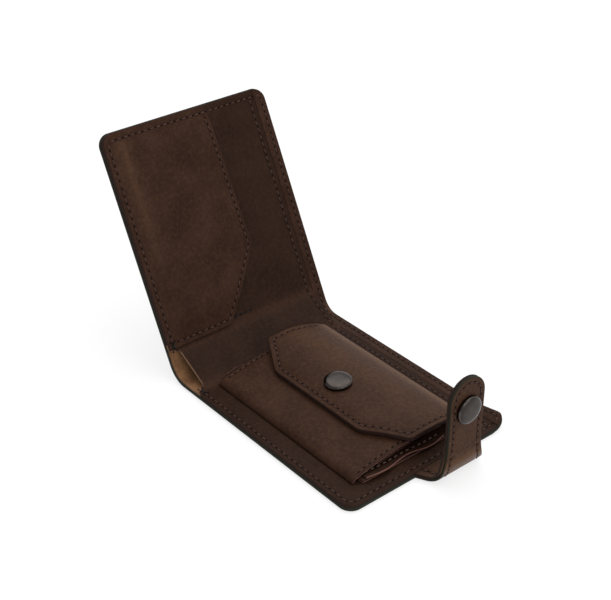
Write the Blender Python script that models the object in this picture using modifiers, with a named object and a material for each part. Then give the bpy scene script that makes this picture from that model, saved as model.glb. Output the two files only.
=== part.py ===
"""Leather bi-fold wallet with a coin pocket, a card pocket and a snap strap, standing half open.

Blender, metres, +Z up. The origin is the middle of the flat half's underside. The driving sizes
below are in millimetres and degrees.
"""

import math

import bmesh
import bpy
from mathutils import Matrix, Vector

for old in list(bpy.data.objects):
    bpy.data.objects.remove(old)

MM = 0.001

# Whole wallet
WIDTH = 90.0
FLAT_LENGTH = 111.4
BACK_LENGTH = 106.5
OPENING = 116.8
SPINE_RADIUS = 11.5
CORNER_RADIUS = 5.8
GAP = 0.3

# Leather layers
COVER_THICK = 1.5
DIVIDER_THICK = 1.0
HEM_THICK = 0.8
HEM_WIDTH = 5.7
DIVIDER_SETBACK = 6.3
CHORD_RUN = 9.0
CHORD_BACK_RUN = 6.6
DIVIDER_CUT_BACK = 5.0

# Coin pocket: its outer face is a shallow arch across the wallet
POCKET_CENTRE = 0.5
POCKET_LENGTH = 89.0
POCKET_NEAR = -34.47
POCKET_MOUTH = 15.0
POCKET_FAR = 31.0
POCKET_BACK_THICK = 1.0
POCKET_FRONT_THICK = 1.2
ARCH_TOP = 10.4
ARCH_CREST_Y = 6.0
ARCH_RADIUS = 143.0
NOSE_RADIUS = 2.0
POCKET_BACK_INSET = 2.0
POCKET_BRIM = 2.4
GUSSET_THICK = 0.6
GUSSET_DEPTH = 6.7
GUSSET_NEAR = -20.0

# Coin flap
FLAP_CENTRE = 0.1
FLAP_LENGTH = 94.0
FLAP_FRONT_LENGTH = 55.2
FLAP_FRONT = -15.5
FLAP_CHAMFER = 11.2
FLAP_REAR = 26.5
FLAP_LINING_THICK = 0.7
FLAP_LEATHER_THICK = 1.1
FLAP_LIFT = 0.4
FLAP_CROWN = 1.3
FLAP_RISE_RUN = 9.0
FLAP_SETTLE_RUN = 16.0
FLAP_FALL_LEAD = 1.0
FLAP_FALL_RADIUS = 45.5
FLAP_LINING_SHORT = 5.0
FLAP_SHOULDER_RADIUS = 3.0
FLAP_FRONT_RADIUS = 6.0
FLAP_FOLD_RADIUS = 4.0
FLAP_AXIS_Y = 29.5
FLAP_AXIS_Z = 6.5

# Card pocket on the back half, from the spine tangent outwards
CARD_FOOT = 7.0
CARD_EDGE = 12.5
CARD_SLANT = 38.3
CARD_FOOT_EDGE = -10.2
CARD_THICK = 1.2
CARD_ROOM = 0.9
CARD_SEAM = 4.0
CARD_RISE_RUN = 8.0
CARD_EDGE_TAPER = 2.0
CARD_TOP_RADIUS = 1.0
CARD_SLANT_RADIUS = 6.0
CARD_FOOT_RADIUS = 3.0

# Closing strap
STRAP_CENTRE = 7.0
STRAP_WIDTH = 19.0
STRAP_FLARE = 7.2
STRAP_FLARE_RUN = 26.0
STRAP_LEATHER_THICK = 1.3
STRAP_LINING_THICK = 0.8
STRAP_LIFT = 0.2
STRAP_STUB = 4.0
STRAP_HINGE_OUT = 0.5
STRAP_BEND_RADIUS = 4.0
STRAP_FOLD_HEIGHT = 20.0
STRAP_TOP = 47.5
STRAP_SNAP_HEIGHT = 33.0

# Snap hardware
CAP_RADIUS = 6.25
CAP_DOME = 2.35
CAP_RIM = 0.55
CAP_SEAT = 0.2
SOCKET_RADIUS = 4.8
SOCKET_BORE = 2.6
STUD_FLANGE = 4.4
STUD_FLANGE_THICK = 0.4
STUD_SEAT = 0.1
STUD_HEIGHT = 2.2
STUD_POST = 2.0
SHANK = 1.4
SHANK_HOLE = 1.8
RIVET_RADIUS = 4.0
RIVET_THICK = 0.5
SOCKET_SEAT = 0.15
SOCKET_HEIGHT = 1.55
FLAP_SNAP_X = 0.6
FLAP_SNAP_Y = -2.5

# Derived levels and lines
EDGE = FLAT_LENGTH / 2
FOLD = -FLAT_LENGTH / 2
HALF = WIDTH / 2
LAYER2 = COVER_THICK + GAP
LAYER3 = LAYER2 + DIVIDER_THICK + GAP
POCKET_FLOOR = LAYER3 + POCKET_BACK_THICK
THETA = math.radians(OPENING)
TURN = math.pi - THETA
STRAP_THICK = STRAP_LEATHER_THICK + GAP + STRAP_LINING_THICK
STRAP_INNER = STRAP_LIFT + STRAP_THICK
BEND_X = EDGE + STRAP_STUB
BEND_Z = STRAP_INNER + STRAP_BEND_RADIUS
RISER_X = BEND_X + STRAP_BEND_RADIUS
BEND_MID = STRAP_BEND_RADIUS + STRAP_LINING_THICK / 2

# Joint axes, as (x, z) or (y, z) points
ROOT_AXIS = (EDGE + STRAP_HINGE_OUT, STRAP_INNER)
BEND_AXIS = (BEND_X + BEND_MID * math.sqrt(0.5), BEND_Z - BEND_MID * math.sqrt(0.5))
TIP_AXIS = (RISER_X, STRAP_FOLD_HEIGHT)
CLOSED_TIP_X = ROOT_AXIS[0] - (BEND_AXIS[1] - ROOT_AXIS[1]) + (TIP_AXIS[0] - BEND_AXIS[0])
STUD_U = CLOSED_TIP_X - (STRAP_SNAP_HEIGHT - STRAP_FOLD_HEIGHT) - FOLD

LEATHER = (0.048, 0.029, 0.021)
LEATHER_DARK = (0.030, 0.018, 0.014)
GUNMETAL = (0.10, 0.105, 0.10)
STEEL = (0.30, 0.30, 0.29)

wallet = bpy.data.collections.new("coin_purse")
cutters = bpy.data.collections.new("cutters")
bpy.context.scene.collection.children.link(wallet)
bpy.context.scene.collection.children.link(cutters)
cutters.hide_render = True


def outline(corners):
    """Points of a polygon, listed counter-clockwise, whose corners (x, y, radius) are rounded."""
    points = []
    for i, (x, y, radius) in enumerate(corners):
        here = Vector((x, y))
        back = (Vector(corners[i - 1][:2]) - here).normalized()
        ahead = (Vector(corners[(i + 1) % len(corners)][:2]) - here).normalized()
        if radius == 0:
            points.append((x, y))
            continue
        half = back.angle(ahead) / 2
        centre = here + (back + ahead).normalized() * (radius / math.sin(half))
        first = here + back * (radius / math.tan(half)) - centre
        last = here + ahead * (radius / math.tan(half)) - centre
        start = math.atan2(first.y, first.x)
        sweep = (math.atan2(last.y, last.x) - start + math.pi) % math.tau - math.pi
        steps = max(2, math.ceil(abs(sweep) / math.radians(15)))
        for k in range(steps + 1):
            angle = start + sweep * k / steps
            points.append((centre.x + radius * math.cos(angle), centre.y + radius * math.sin(angle)))
    return points


def clip(points, axis, limit, above):
    """The part of a convex outline on one side of a line."""
    sign = 1 if above else -1
    kept = []
    for here, ahead in zip(points, points[1:] + points[:1]):
        a = sign * (here[axis] - limit)
        b = sign * (ahead[axis] - limit)
        if a >= 0:
            kept.append(here)
        if a * b < 0:
            part = a / (a - b)
            kept.append(tuple(p + part * (q - p) for p, q in zip(here, ahead)))
    return kept


def circle(x, y, radius, count=24):
    """A round hole as an outline."""
    turns = [math.tau * k / count for k in range(count)]
    return [(x + radius * math.cos(t), y + radius * math.sin(t)) for t in turns]


def steps(start, end, count):
    """Evenly spaced values from start to end."""
    return [start + (end - start) * k / count for k in range(count + 1)]


def smooth(value):
    """Smooth ramp from 0 to 1."""
    value = min(max(value, 0.0), 1.0)
    return value * value * (3 - 2 * value)


def placed(data, name, colour, frame, pivot):
    """Links a new node, gives it its own material and hangs it on its joint's empty."""
    material = bpy.data.materials.new(name)
    material.use_nodes = True
    shader = material.node_tree.nodes["Principled BSDF"]
    shader.inputs["Base Color"].default_value = (*colour, 1)
    shader.inputs["Roughness"].default_value = 0.35 if colour in (GUNMETAL, STEEL) else 0.6
    shader.inputs["Metallic"].default_value = 1.0 if colour in (GUNMETAL, STEEL) else 0.0
    data.materials.append(material)
    obj = bpy.data.objects.new(name, data)
    wallet.objects.link(obj)
    if pivot:
        obj.parent = pivot
        obj.matrix_parent_inverse = PIVOTS[pivot.name].inverted()
    obj.matrix_basis = frame
    return obj


def plate(name, loops, low, high, colour, frame=Matrix(), pivot=None):
    """Flat sheet between two levels of its frame: a filled 2D curve, with inner loops as holes."""
    curve = bpy.data.curves.new(name, "CURVE")
    curve.dimensions = "2D"
    curve.fill_mode = "BOTH"
    curve.extrude = (high - low) / 2 * MM
    for loop in loops:
        spline = curve.splines.new("POLY")
        spline.points.add(len(loop) - 1)
        for point, (x, y) in zip(spline.points, loop):
            point.co = (x * MM, y * MM, 0, 1)
        spline.use_cyclic_u = True
    level = Matrix.Translation((0, 0, (high + low) / 2 * MM))
    return placed(curve, name, colour, frame @ level, pivot)


def bent(name, shape, cuts, place, thick, side, colour, frame=Matrix(), pivot=None):
    """Sheet cut from an outline, creased along its cuts, bent by place() and thickened to one side."""
    work = bmesh.new()
    work.faces.new([work.verts.new((a, b, 0)) for a, b in shape])
    for axis, values in enumerate(cuts):
        for value in values:
            point = Vector((value, 0, 0)) if axis == 0 else Vector((0, value, 0))
            geometry = work.verts[:] + work.edges[:] + work.faces[:]
            bmesh.ops.bisect_plane(
                work, geom=geometry, dist=0.001, plane_co=point, plane_no=AXES[axis]
            )
    for vertex in work.verts:
        vertex.co = Vector(place(vertex.co.x, vertex.co.y)) * MM
    mesh = bpy.data.meshes.new(name)
    work.to_mesh(mesh)
    work.free()
    obj = placed(mesh, name, colour, frame, pivot)
    solid = obj.modifiers.new("thickness", "SOLIDIFY")
    solid.thickness = thick * MM
    solid.offset = side
    solid.use_even_offset = True
    return obj


def turned(name, profile, colour, frame, pivot=None):
    """Turned piece: a profile of (radius, height), run down its outer side, swept by a Screw."""
    mesh = bpy.data.meshes.new(name)
    ring = min(radius for radius, _ in profile) > 0
    count = len(profile)
    edges = [(k, (k + 1) % count) for k in range(count if ring else count - 1)]
    mesh.from_pydata([(radius * MM, 0, height * MM) for radius, height in profile], edges, [])
    obj = placed(mesh, name, colour, frame, pivot)
    screw = obj.modifiers.new("turn", "SCREW")
    screw.axis = "Z"
    screw.steps = 32
    screw.render_steps = 32
    screw.use_merge_vertices = True
    screw.merge_threshold = 0.00001
    return obj


def cut(target, profile, frame, pivot=None):
    """Takes a turned cutter out of a node."""
    tool = turned(target.name + "_cutter", profile, STEEL, frame, pivot)
    wallet.objects.unlink(tool)
    cutters.objects.link(tool)
    tool.hide_render = True
    tool.display_type = "WIRE"
    hole = target.modifiers.new("hole", "BOOLEAN")
    hole.operation = "DIFFERENCE"
    hole.solver = "EXACT"
    hole.object = tool


def axis_empty(name, point, parent=None, turn=0.0):
    """An empty on a joint's axis. The pieces of the moving body hang on it."""
    empty = bpy.data.objects.new(name, None)
    empty.empty_display_size = 0.01
    wallet.objects.link(empty)
    world = Matrix.Translation(Vector(point) * MM) @ Matrix.Rotation(turn, 4, "Y")
    PIVOTS[name] = world
    if parent:
        empty.parent = parent
        empty.matrix_parent_inverse = PIVOTS[parent.name].inverted()
    empty.matrix_basis = world
    return empty


def rod(radius, low, high):
    """Profile of a plain cylinder."""
    return [(0, high), (radius, high), (radius, low), (0, low)]


def washer(bore, radius, low, high):
    """Profile of a flat ring."""
    return [(bore, high), (radius, high), (radius, low), (bore, low)]


def domed_cap(base, tail):
    """Profile of a snap cap: a dome on a rim, with a post that runs down to the socket."""
    rise = [math.radians(a) for a in (90, 75, 60, 45, 30, 15)]
    rim = base + CAP_RIM
    dome = [(CAP_RADIUS * math.cos(a), rim + (CAP_DOME - CAP_RIM) * math.sin(a)) for a in rise]
    dome[0] = (0, base + CAP_DOME)
    edge = [(CAP_RADIUS, rim), (CAP_RADIUS - CAP_RIM / 5, base), (SHANK, base)]
    return dome + edge + [(SHANK, tail), (0, tail)]


def stud(base, top, tail):
    """Profile of a snap stud: a rounded post on a flange, with a shank through the leather."""
    brim = base + STUD_FLANGE_THICK
    head = [(0, top), (STUD_POST * 0.75, top), (STUD_POST, top - STUD_POST / 5)]
    waist = [(STUD_POST * 0.9, brim + STUD_POST / 10)]
    flange = [(STUD_POST, brim), (STUD_FLANGE - STUD_POST / 10, brim), (STUD_FLANGE, base)]
    return head + waist + flange + [(SHANK, base), (SHANK, tail), (0, tail)]


AXES = (Vector((1, 0, 0)), Vector((0, 1, 0)))
PIVOTS = {}
UPRIGHT = Matrix.Rotation(math.pi / 2, 4, "Z") @ Matrix.Rotation(math.pi / 2, 4, "X")

fold_axis = axis_empty("fold_axis", (FOLD, 0, SPINE_RADIUS), turn=-THETA)
BACK = PIVOTS["fold_axis"]


def arch(y):
    """Height of the coin pocket's outer face."""
    return ARCH_TOP - (y - ARCH_CREST_Y) ** 2 / (2 * ARCH_RADIUS)


def arch_tilt(y):
    """How far that face leans, as an angle."""
    return math.atan((ARCH_CREST_Y - y) / ARCH_RADIUS)


tilt = arch_tilt(POCKET_NEAR + NOSE_RADIUS)
nose_y = POCKET_NEAR + NOSE_RADIUS * (1 - math.sin(tilt))
nose_z = arch(nose_y) - NOSE_RADIUS * math.cos(tilt)
pocket_axis = axis_empty("pocket_mouth_axis", (POCKET_CENTRE, POCKET_NEAR + NOSE_RADIUS, nose_z))
flap_axis = axis_empty("coin_flap_axis", (FLAP_CENTRE, FLAP_AXIS_Y, FLAP_AXIS_Z))
root_axis = axis_empty("strap_root_axis", (ROOT_AXIS[0], STRAP_CENTRE, ROOT_AXIS[1]))
bend_axis = axis_empty("strap_bend_axis", (BEND_AXIS[0], STRAP_CENTRE, BEND_AXIS[1]), root_axis)
tip_axis = axis_empty("strap_tip_axis", (TIP_AXIS[0], STRAP_CENTRE, TIP_AXIS[1]), bend_axis)


def half_outline(length, inset):
    """A wallet half, from its fold end at 0 to its rounded free end."""
    far = length - inset
    side = HALF - inset
    radius = CORNER_RADIUS - inset
    return outline([(GAP / 2, -side, 0), (far, -side, radius), (far, side, radius), (GAP / 2, side, 0)])


def moved(points, dx):
    """An outline shifted along x."""
    return [(x + dx, y) for x, y in points]


# Outer cover: flat half, spine bend, back half with the hole and seat of the strap stud
flat = moved(half_outline(FLAT_LENGTH, 0), FOLD)
plate("cover_flat", [flat], 0, COVER_THICK, LEATHER)


def spine(inside):
    """Bends (y, turn) round the spine at a distance inside the cover's outer face."""
    radius = SPINE_RADIUS - inside
    return lambda y, t: (FOLD - radius * math.sin(t), y, SPINE_RADIUS - radius * math.cos(t))


slip = GAP / 2 / SPINE_RADIUS
turns = steps(slip, TURN - slip, 10)
strip = [(-HALF, turns[0]), (HALF, turns[0]), (HALF, turns[-1]), (-HALF, turns[-1])]
bent("cover_spine", strip, ([], turns[1:-1]), spine(0), COVER_THICK, 1, LEATHER)
stud_frame = BACK @ Matrix.Translation(Vector((STUD_U, STRAP_CENTRE, SPINE_RADIUS)) * MM)
outer = SPINE_RADIUS
back = half_outline(BACK_LENGTH, 0)
cover_back = bent(
    "cover_back", back, ([], []), lambda u, y: (u, y, outer), COVER_THICK, -1, LEATHER, BACK, fold_axis
)
seat = -COVER_THICK / 2
recess = RIVET_RADIUS + GAP
seat_profile = [(0, GAP), (SHANK_HOLE, GAP), (SHANK_HOLE, seat), (recess, seat)]
seat_profile += [(recess, -COVER_THICK - GAP), (0, -COVER_THICK - GAP)]
cut(cover_back, seat_profile, stud_frame, fold_axis)

# Inner divider: flat half, free span across the spine, back half
shape = clip(moved(half_outline(FLAT_LENGTH, GAP), FOLD), 1, HALF - DIVIDER_SETBACK, False)
shape = clip(shape, 0, FOLD + CHORD_RUN, True)
plate("divider_flat", [shape], LAYER2, LAYER2 + DIVIDER_THICK, LEATHER_DARK)
middle = LAYER2 + DIVIDER_THICK / 2
low_end = Vector((FOLD + CHORD_RUN, 0, middle))
high_end = BACK @ (Vector((CHORD_BACK_RUN, 0, SPINE_RADIUS - middle)) * MM) / MM
slack = (high_end - low_end).normalized() * (GAP + DIVIDER_THICK / 4)
low_end = low_end + slack
high_end = high_end - slack
side = HALF - DIVIDER_CUT_BACK
strip = [(-side, 0), (HALF - DIVIDER_SETBACK, 0), (HALF - DIVIDER_SETBACK, 1), (-side, 1)]


def chord(y, t):
    """The divider's straight span between the two halves."""
    point = low_end.lerp(high_end, t)
    return (point.x, y, point.z)


bent("divider_spine", strip, ([], [0.25, 0.5, 0.75]), chord, DIVIDER_THICK, 0, LEATHER_DARK)
shape = clip(half_outline(BACK_LENGTH, GAP), 1, HALF - DIVIDER_SETBACK, False)
shape = clip(shape, 0, CHORD_BACK_RUN, True)
level = SPINE_RADIUS - LAYER2
plate("divider_back", [shape], level - DIVIDER_THICK, level, LEATHER_DARK, BACK, fold_axis)

# Hem along the far edge of the cover
shape = clip(flat, 1, HALF - HEM_WIDTH, True)
plate("hem_flat", [shape], LAYER2, LAYER2 + HEM_THICK, LEATHER)
strip = [(HALF - HEM_WIDTH, turns[0]), (HALF, turns[0]), (HALF, turns[-1]), (HALF - HEM_WIDTH, turns[-1])]
bent("hem_spine", strip, ([], turns[1:-1]), spine(LAYER2), HEM_THICK, 1, LEATHER)
shape = clip(back, 1, HALF - HEM_WIDTH, True)
plate("hem_back", [shape], level - HEM_THICK, level, LEATHER, BACK, fold_axis)

# Card pocket panel: sewn down at its foot, near side and free end, raised over the card slot
near = GAP - HALF
end = BACK_LENGTH - GAP
card = outline([
    (CARD_FOOT, near, 0),
    (end, near, CORNER_RADIUS - GAP),
    (end, CARD_EDGE - CARD_EDGE_TAPER, CARD_TOP_RADIUS),
    (CARD_SLANT, CARD_EDGE, CARD_SLANT_RADIUS),
    (CARD_FOOT, CARD_FOOT_EDGE, CARD_FOOT_RADIUS),
])


def card_face(u, y):
    """The face of the card pocket panel that looks at the divider."""
    room = smooth((y - near - CARD_SEAM) / CARD_RISE_RUN)
    room *= smooth((end - CARD_SEAM - u) / CARD_RISE_RUN)
    room *= smooth((u - CARD_FOOT - CARD_SEAM) / CARD_RISE_RUN)
    return (u, y, SPINE_RADIUS - LAYER3 - CARD_ROOM * room)


reach = CARD_SEAM + CARD_RISE_RUN
cuts_u = steps(CARD_FOOT + CARD_SEAM, CARD_FOOT + reach, 3)
cuts_u += steps(CARD_FOOT + 2 * reach, end - 2 * reach, 4)
cuts_u += steps(end - reach, end - CARD_SEAM, 3)
cuts_y = steps(near + CARD_SEAM, near + reach, 3) + [near + reach * k for k in (2, 3, 4)]
bent("card_pocket_panel", card, (cuts_u, cuts_y), card_face, CARD_THICK, -1, LEATHER, BACK, fold_axis)

# Coin pocket back panel
x0 = POCKET_CENTRE - POCKET_LENGTH / 2
x1 = POCKET_CENTRE + POCKET_LENGTH / 2
y0 = POCKET_NEAR + NOSE_RADIUS + POCKET_BACK_INSET
left = x0 - POCKET_BRIM
right = x1 + POCKET_BRIM
shape = [(left, y0), (right, y0), (right, POCKET_FAR), (left, POCKET_FAR)]
plate("pocket_back", [shape], LAYER3, POCKET_FLOOR, LEATHER_DARK)

# Coin pocket front panel: the arch, with its near edge rolled down round the nose
nose = [
    (POCKET_NEAR + NOSE_RADIUS - NOSE_RADIUS * math.cos(a), nose_z + NOSE_RADIUS * math.sin(a))
    for a in steps(0, math.pi / 2 - tilt, 5)
]
face = nose[:-1] + [(y, arch(y)) for y in steps(nose_y, POCKET_MOUTH, 12)]
run = [0.0]
for (ya, za), (yb, zb) in zip(face, face[1:]):
    run.append(run[-1] + math.hypot(yb - ya, zb - za))


def pocket_face(x, s):
    """The coin pocket's outer face at a distance along its profile."""
    k = min(range(len(run)), key=lambda i: abs(run[i] - s))
    return (x, *face[k])


shape = [(x0, 0), (x1, 0), (x1, run[-1]), (x0, run[-1])]
pocket_front = bent(
    "pocket_front",
    shape,
    ([], run[1:-1]),
    pocket_face,
    POCKET_FRONT_THICK, -1, LEATHER, Matrix(), pocket_axis,
)
snap_frame = Matrix.Translation(Vector((FLAP_SNAP_X, FLAP_SNAP_Y, arch(FLAP_SNAP_Y))) * MM)
snap_frame = snap_frame @ Matrix.Rotation(arch_tilt(FLAP_SNAP_Y), 4, "X")
cut(pocket_front, rod(SHANK_HOLE, -2 * POCKET_FRONT_THICK, POCKET_FRONT_THICK), snap_frame, pocket_axis)

# Gussets: a strip folded inwards at each short side of the coin pocket
for name, hand in (("gusset_spine_side", -1), ("gusset_strap_side", 1)):
    brim = POCKET_CENTRE + hand * (POCKET_LENGTH / 2 - GAP)
    fold_x = brim - hand * GUSSET_DEPTH
    lower = POCKET_FLOOR + GAP + GUSSET_THICK / 2
    drop = POCKET_FRONT_THICK + GAP + GUSSET_THICK / 2 + 0.05
    corners = [(brim + hand * POCKET_BRIM, 0), (fold_x, 0), (fold_x, 1), (brim, 1)]

    def gusset(k, y, corners=corners, lower=lower, drop=drop):
        x, up = corners[round(k)]
        return (x, y, lower + up * (arch(y) - drop - lower))

    rows = steps(GUSSET_NEAR, POCKET_MOUTH, 6)
    strip = [(0, rows[0]), (3, rows[0]), (3, rows[-1]), (0, rows[-1])]
    bent(name, strip, ([1, 2], rows[1:-1]), gusset, GUSSET_THICK, 0, LEATHER_DARK)


def flap_under(x, y):
    """Height of the flap's lower face over the pocket: lifted over the snap, falling to the fold."""
    across = 2 * (x - FLAP_CENTRE) / FLAP_LENGTH
    rise = smooth((y - FLAP_FRONT) / FLAP_RISE_RUN) * smooth((FLAP_REAR - y) / FLAP_SETTLE_RUN)
    past = max(0, y - POCKET_MOUTH + FLAP_FALL_LEAD)
    over_pocket = arch(y) + FLAP_LIFT + FLAP_CROWN * (1 - across**2) * rise
    return over_pocket - past**2 / (2 * FLAP_FALL_RADIUS)


def flap_outline(inset, rear):
    """The flap's outline: straight sides, chamfered front corners."""
    side = FLAP_LENGTH / 2 - inset
    tip = FLAP_FRONT_LENGTH / 2 - inset / 2
    low = FLAP_FRONT + inset
    shoulder = FLAP_FRONT + FLAP_CHAMFER + inset / 2
    points = [(side, rear, 0), (-side, rear, 0), (-side, shoulder, FLAP_SHOULDER_RADIUS)]
    points += [(-tip, low, FLAP_FRONT_RADIUS), (tip, low, FLAP_FRONT_RADIUS)]
    points += [(side, shoulder, FLAP_SHOULDER_RADIUS)]
    return moved(outline(points), FLAP_CENTRE)


# Coin flap: lining, outer leather, and the fold down to the pocket's back panel
grid_x = [FLAP_CENTRE + FLAP_LENGTH * k / 10 for k in range(-4, 5)]
grid_y = steps(FLAP_FRONT, FLAP_REAR, 12)[1:-1]
lining = bent(
    "flap_lining",
    flap_outline(GAP, FLAP_REAR - FLAP_LINING_SHORT),
    (grid_x, grid_y[:-1]),
    lambda x, y: (x, y, flap_under(x, y)),
    FLAP_LINING_THICK, 1, LEATHER_DARK, Matrix(), flap_axis,
)
over = FLAP_LINING_THICK + GAP
leather = bent(
    "flap_leather",
    flap_outline(0, FLAP_REAR),
    (grid_x, grid_y),
    lambda x, y: (x, y, flap_under(x, y) + over),
    FLAP_LEATHER_THICK, 1, LEATHER, Matrix(), flap_axis,
)
clear = FLAP_LIFT + FLAP_CROWN + over + 2 * FLAP_LEATHER_THICK
cut(lining, rod(SHANK_HOLE, FLAP_LIFT, clear), snap_frame, flap_axis)
cut(leather, rod(SHANK_HOLE, FLAP_LIFT, clear), snap_frame, flap_axis)
crest_y = FLAP_REAR + GAP
crest_z = flap_under(FLAP_CENTRE, crest_y) + over + FLAP_LEATHER_THICK / 2
lean = math.atan((flap_under(FLAP_CENTRE, crest_y - GAP) - flap_under(FLAP_CENTRE, crest_y)) / GAP)
hub_y = crest_y - FLAP_FOLD_RADIUS * math.sin(lean)
hub_z = crest_z - FLAP_FOLD_RADIUS * math.cos(lean)
bend = [
    (hub_y + FLAP_FOLD_RADIUS * math.sin(a), hub_z + FLAP_FOLD_RADIUS * math.cos(a))
    for a in steps(lean, math.pi / 2, 7)
]
bend.append((hub_y + FLAP_FOLD_RADIUS, POCKET_FLOOR + GAP))
strip = [(x0, 0), (x1, 0), (x1, len(bend) - 1), (x0, len(bend) - 1)]
folds = list(range(1, len(bend) - 1))
bent(
    "flap_fold", strip, ([], folds), lambda x, k: (x, *bend[round(k)]), FLAP_LEATHER_THICK, 0, LEATHER
)

# Flap snap: cap and socket on the flap, stud and rivet washer on the pocket's front panel
under = FLAP_LIFT + FLAP_CROWN
top = under + over + FLAP_LEATHER_THICK + CAP_SEAT
turned("flap_snap_cap", domed_cap(top, under + STUD_SEAT / 2), GUNMETAL, snap_frame, flap_axis)
ring = washer(SOCKET_BORE, SOCKET_RADIUS, 2 * STUD_SEAT + STUD_FLANGE_THICK, under - GAP)
turned("flap_snap_socket", ring, GUNMETAL, snap_frame, flap_axis)
below = -POCKET_FRONT_THICK - GAP
profile = stud(STUD_SEAT, under - CAP_SEAT, below - RIVET_THICK)
turned("flap_snap_stud", profile, STEEL, snap_frame, pocket_axis)
ring = washer(SHANK + GAP, RIVET_RADIUS, below - RIVET_THICK, below)
turned("flap_snap_rivet", ring, STEEL, snap_frame, pocket_axis)


def strap_half(s):
    """Half the strap's width at a distance from the cover's edge: it flares into the cover."""
    return STRAP_WIDTH / 2 + STRAP_FLARE * max(0.0, 1 - s / STRAP_FLARE_RUN) ** 2


def strap_strip(start, end, count):
    """The strap's outline between two distances from the cover's edge, as (distance, y)."""
    stations = steps(start, end, count)
    right = [(s, STRAP_CENTRE - strap_half(s)) for s in stations]
    left = [(s, STRAP_CENTRE + strap_half(s)) for s in reversed(stations)]
    return right + left


# Strap root, bend, riser and tip: outer leather and lining
bend_run = (STRAP_BEND_RADIUS + STRAP_THICK) * math.pi / 2
root = moved(strap_strip(GAP, STRAP_STUB - GAP / 2, 6), EDGE)
foot = STRAP_LIFT + STRAP_LEATHER_THICK
plate("strap_stub", [root], STRAP_LIFT, foot, LEATHER, Matrix(), root_axis)
root = moved(strap_strip(2 * GAP, STRAP_STUB - GAP / 2, 6), EDGE)
plate("strap_stub_lining", [root], foot + GAP, STRAP_INNER, LEATHER_DARK, Matrix(), root_axis)
slip = GAP / 2 / bend_run
turns = steps(slip, 1 - slip, 8)
for name, radius, thick, colour in (
    ("strap_bend", STRAP_BEND_RADIUS + STRAP_THICK, STRAP_LEATHER_THICK, LEATHER),
    ("strap_bend_lining", STRAP_BEND_RADIUS + STRAP_LINING_THICK, STRAP_LINING_THICK, LEATHER_DARK),
):
    def curl(t, y, radius=radius):
        angle = t * math.pi / 2
        return (BEND_X + radius * math.sin(angle), y, BEND_Z - radius * math.cos(angle))

    edge_low = [(t, STRAP_CENTRE - strap_half(STRAP_STUB + t * bend_run)) for t in turns]
    edge_high = [(t, STRAP_CENTRE + strap_half(STRAP_STUB + t * bend_run)) for t in reversed(turns)]
    bent(name, edge_low + edge_high, (turns[1:-1], []), curl, thick, 1, colour, Matrix(), bend_axis)
side = STRAP_WIDTH / 2
y_low = STRAP_CENTRE - side
y_high = STRAP_CENTRE + side
z_low = BEND_Z + GAP / 2
z_mid = STRAP_FOLD_HEIGHT
heights = steps(z_low, z_mid - GAP / 2, 6)
past_bend = STRAP_STUB + bend_run - BEND_Z
riser = [(STRAP_CENTRE + strap_half(past_bend + z), z) for z in heights]
riser += [(STRAP_CENTRE - strap_half(past_bend + z), z) for z in reversed(heights)]
tongue = outline([
    (y_low, z_mid + GAP / 2, 0),
    (y_high, z_mid + GAP / 2, 0),
    (y_high, STRAP_TOP, side - 0.01),
    (y_low, STRAP_TOP, side - 0.01),
])
face_in = RISER_X + STRAP_LINING_THICK
face_out = face_in + GAP
out = face_out + STRAP_LEATHER_THICK
hole = circle(STRAP_CENTRE, STRAP_SNAP_HEIGHT, SHANK_HOLE)
plate("strap_riser", [riser], face_out, out, LEATHER, UPRIGHT, bend_axis)
plate("strap_riser_lining", [riser], RISER_X, face_in, LEATHER_DARK, UPRIGHT, bend_axis)
plate("strap_tip", [tongue, hole], face_out, out, LEATHER, UPRIGHT, tip_axis)
plate("strap_tip_lining", [tongue, hole], RISER_X, face_in, LEATHER_DARK, UPRIGHT, tip_axis)

# Strap snap: cap and socket on the strap's tip, stud and rivet washer on the back of the cover
strap_frame = Matrix.Translation(Vector((RISER_X, STRAP_CENTRE, STRAP_SNAP_HEIGHT)) * MM) @ UPRIGHT
profile = domed_cap(STRAP_THICK + CAP_SEAT, STUD_SEAT)
turned("strap_snap_cap", profile, GUNMETAL, strap_frame, tip_axis)
ring = washer(SOCKET_BORE, SOCKET_RADIUS, -SOCKET_SEAT - SOCKET_HEIGHT, -SOCKET_SEAT)
turned("strap_snap_socket", ring, GUNMETAL, strap_frame, tip_axis)
shank_end = STUD_SEAT - COVER_THICK
turned("strap_snap_stud", stud(STUD_SEAT, STUD_HEIGHT, shank_end), STEEL, stud_frame, fold_axis)
ring = washer(SHANK + GAP, RIVET_RADIUS, shank_end, shank_end + RIVET_THICK)
turned("strap_stud_rivet", ring, STEEL, stud_frame, fold_axis)
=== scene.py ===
import math

import bmesh
import bpy
import numpy as np
from mathutils import Matrix, Vector


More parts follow.
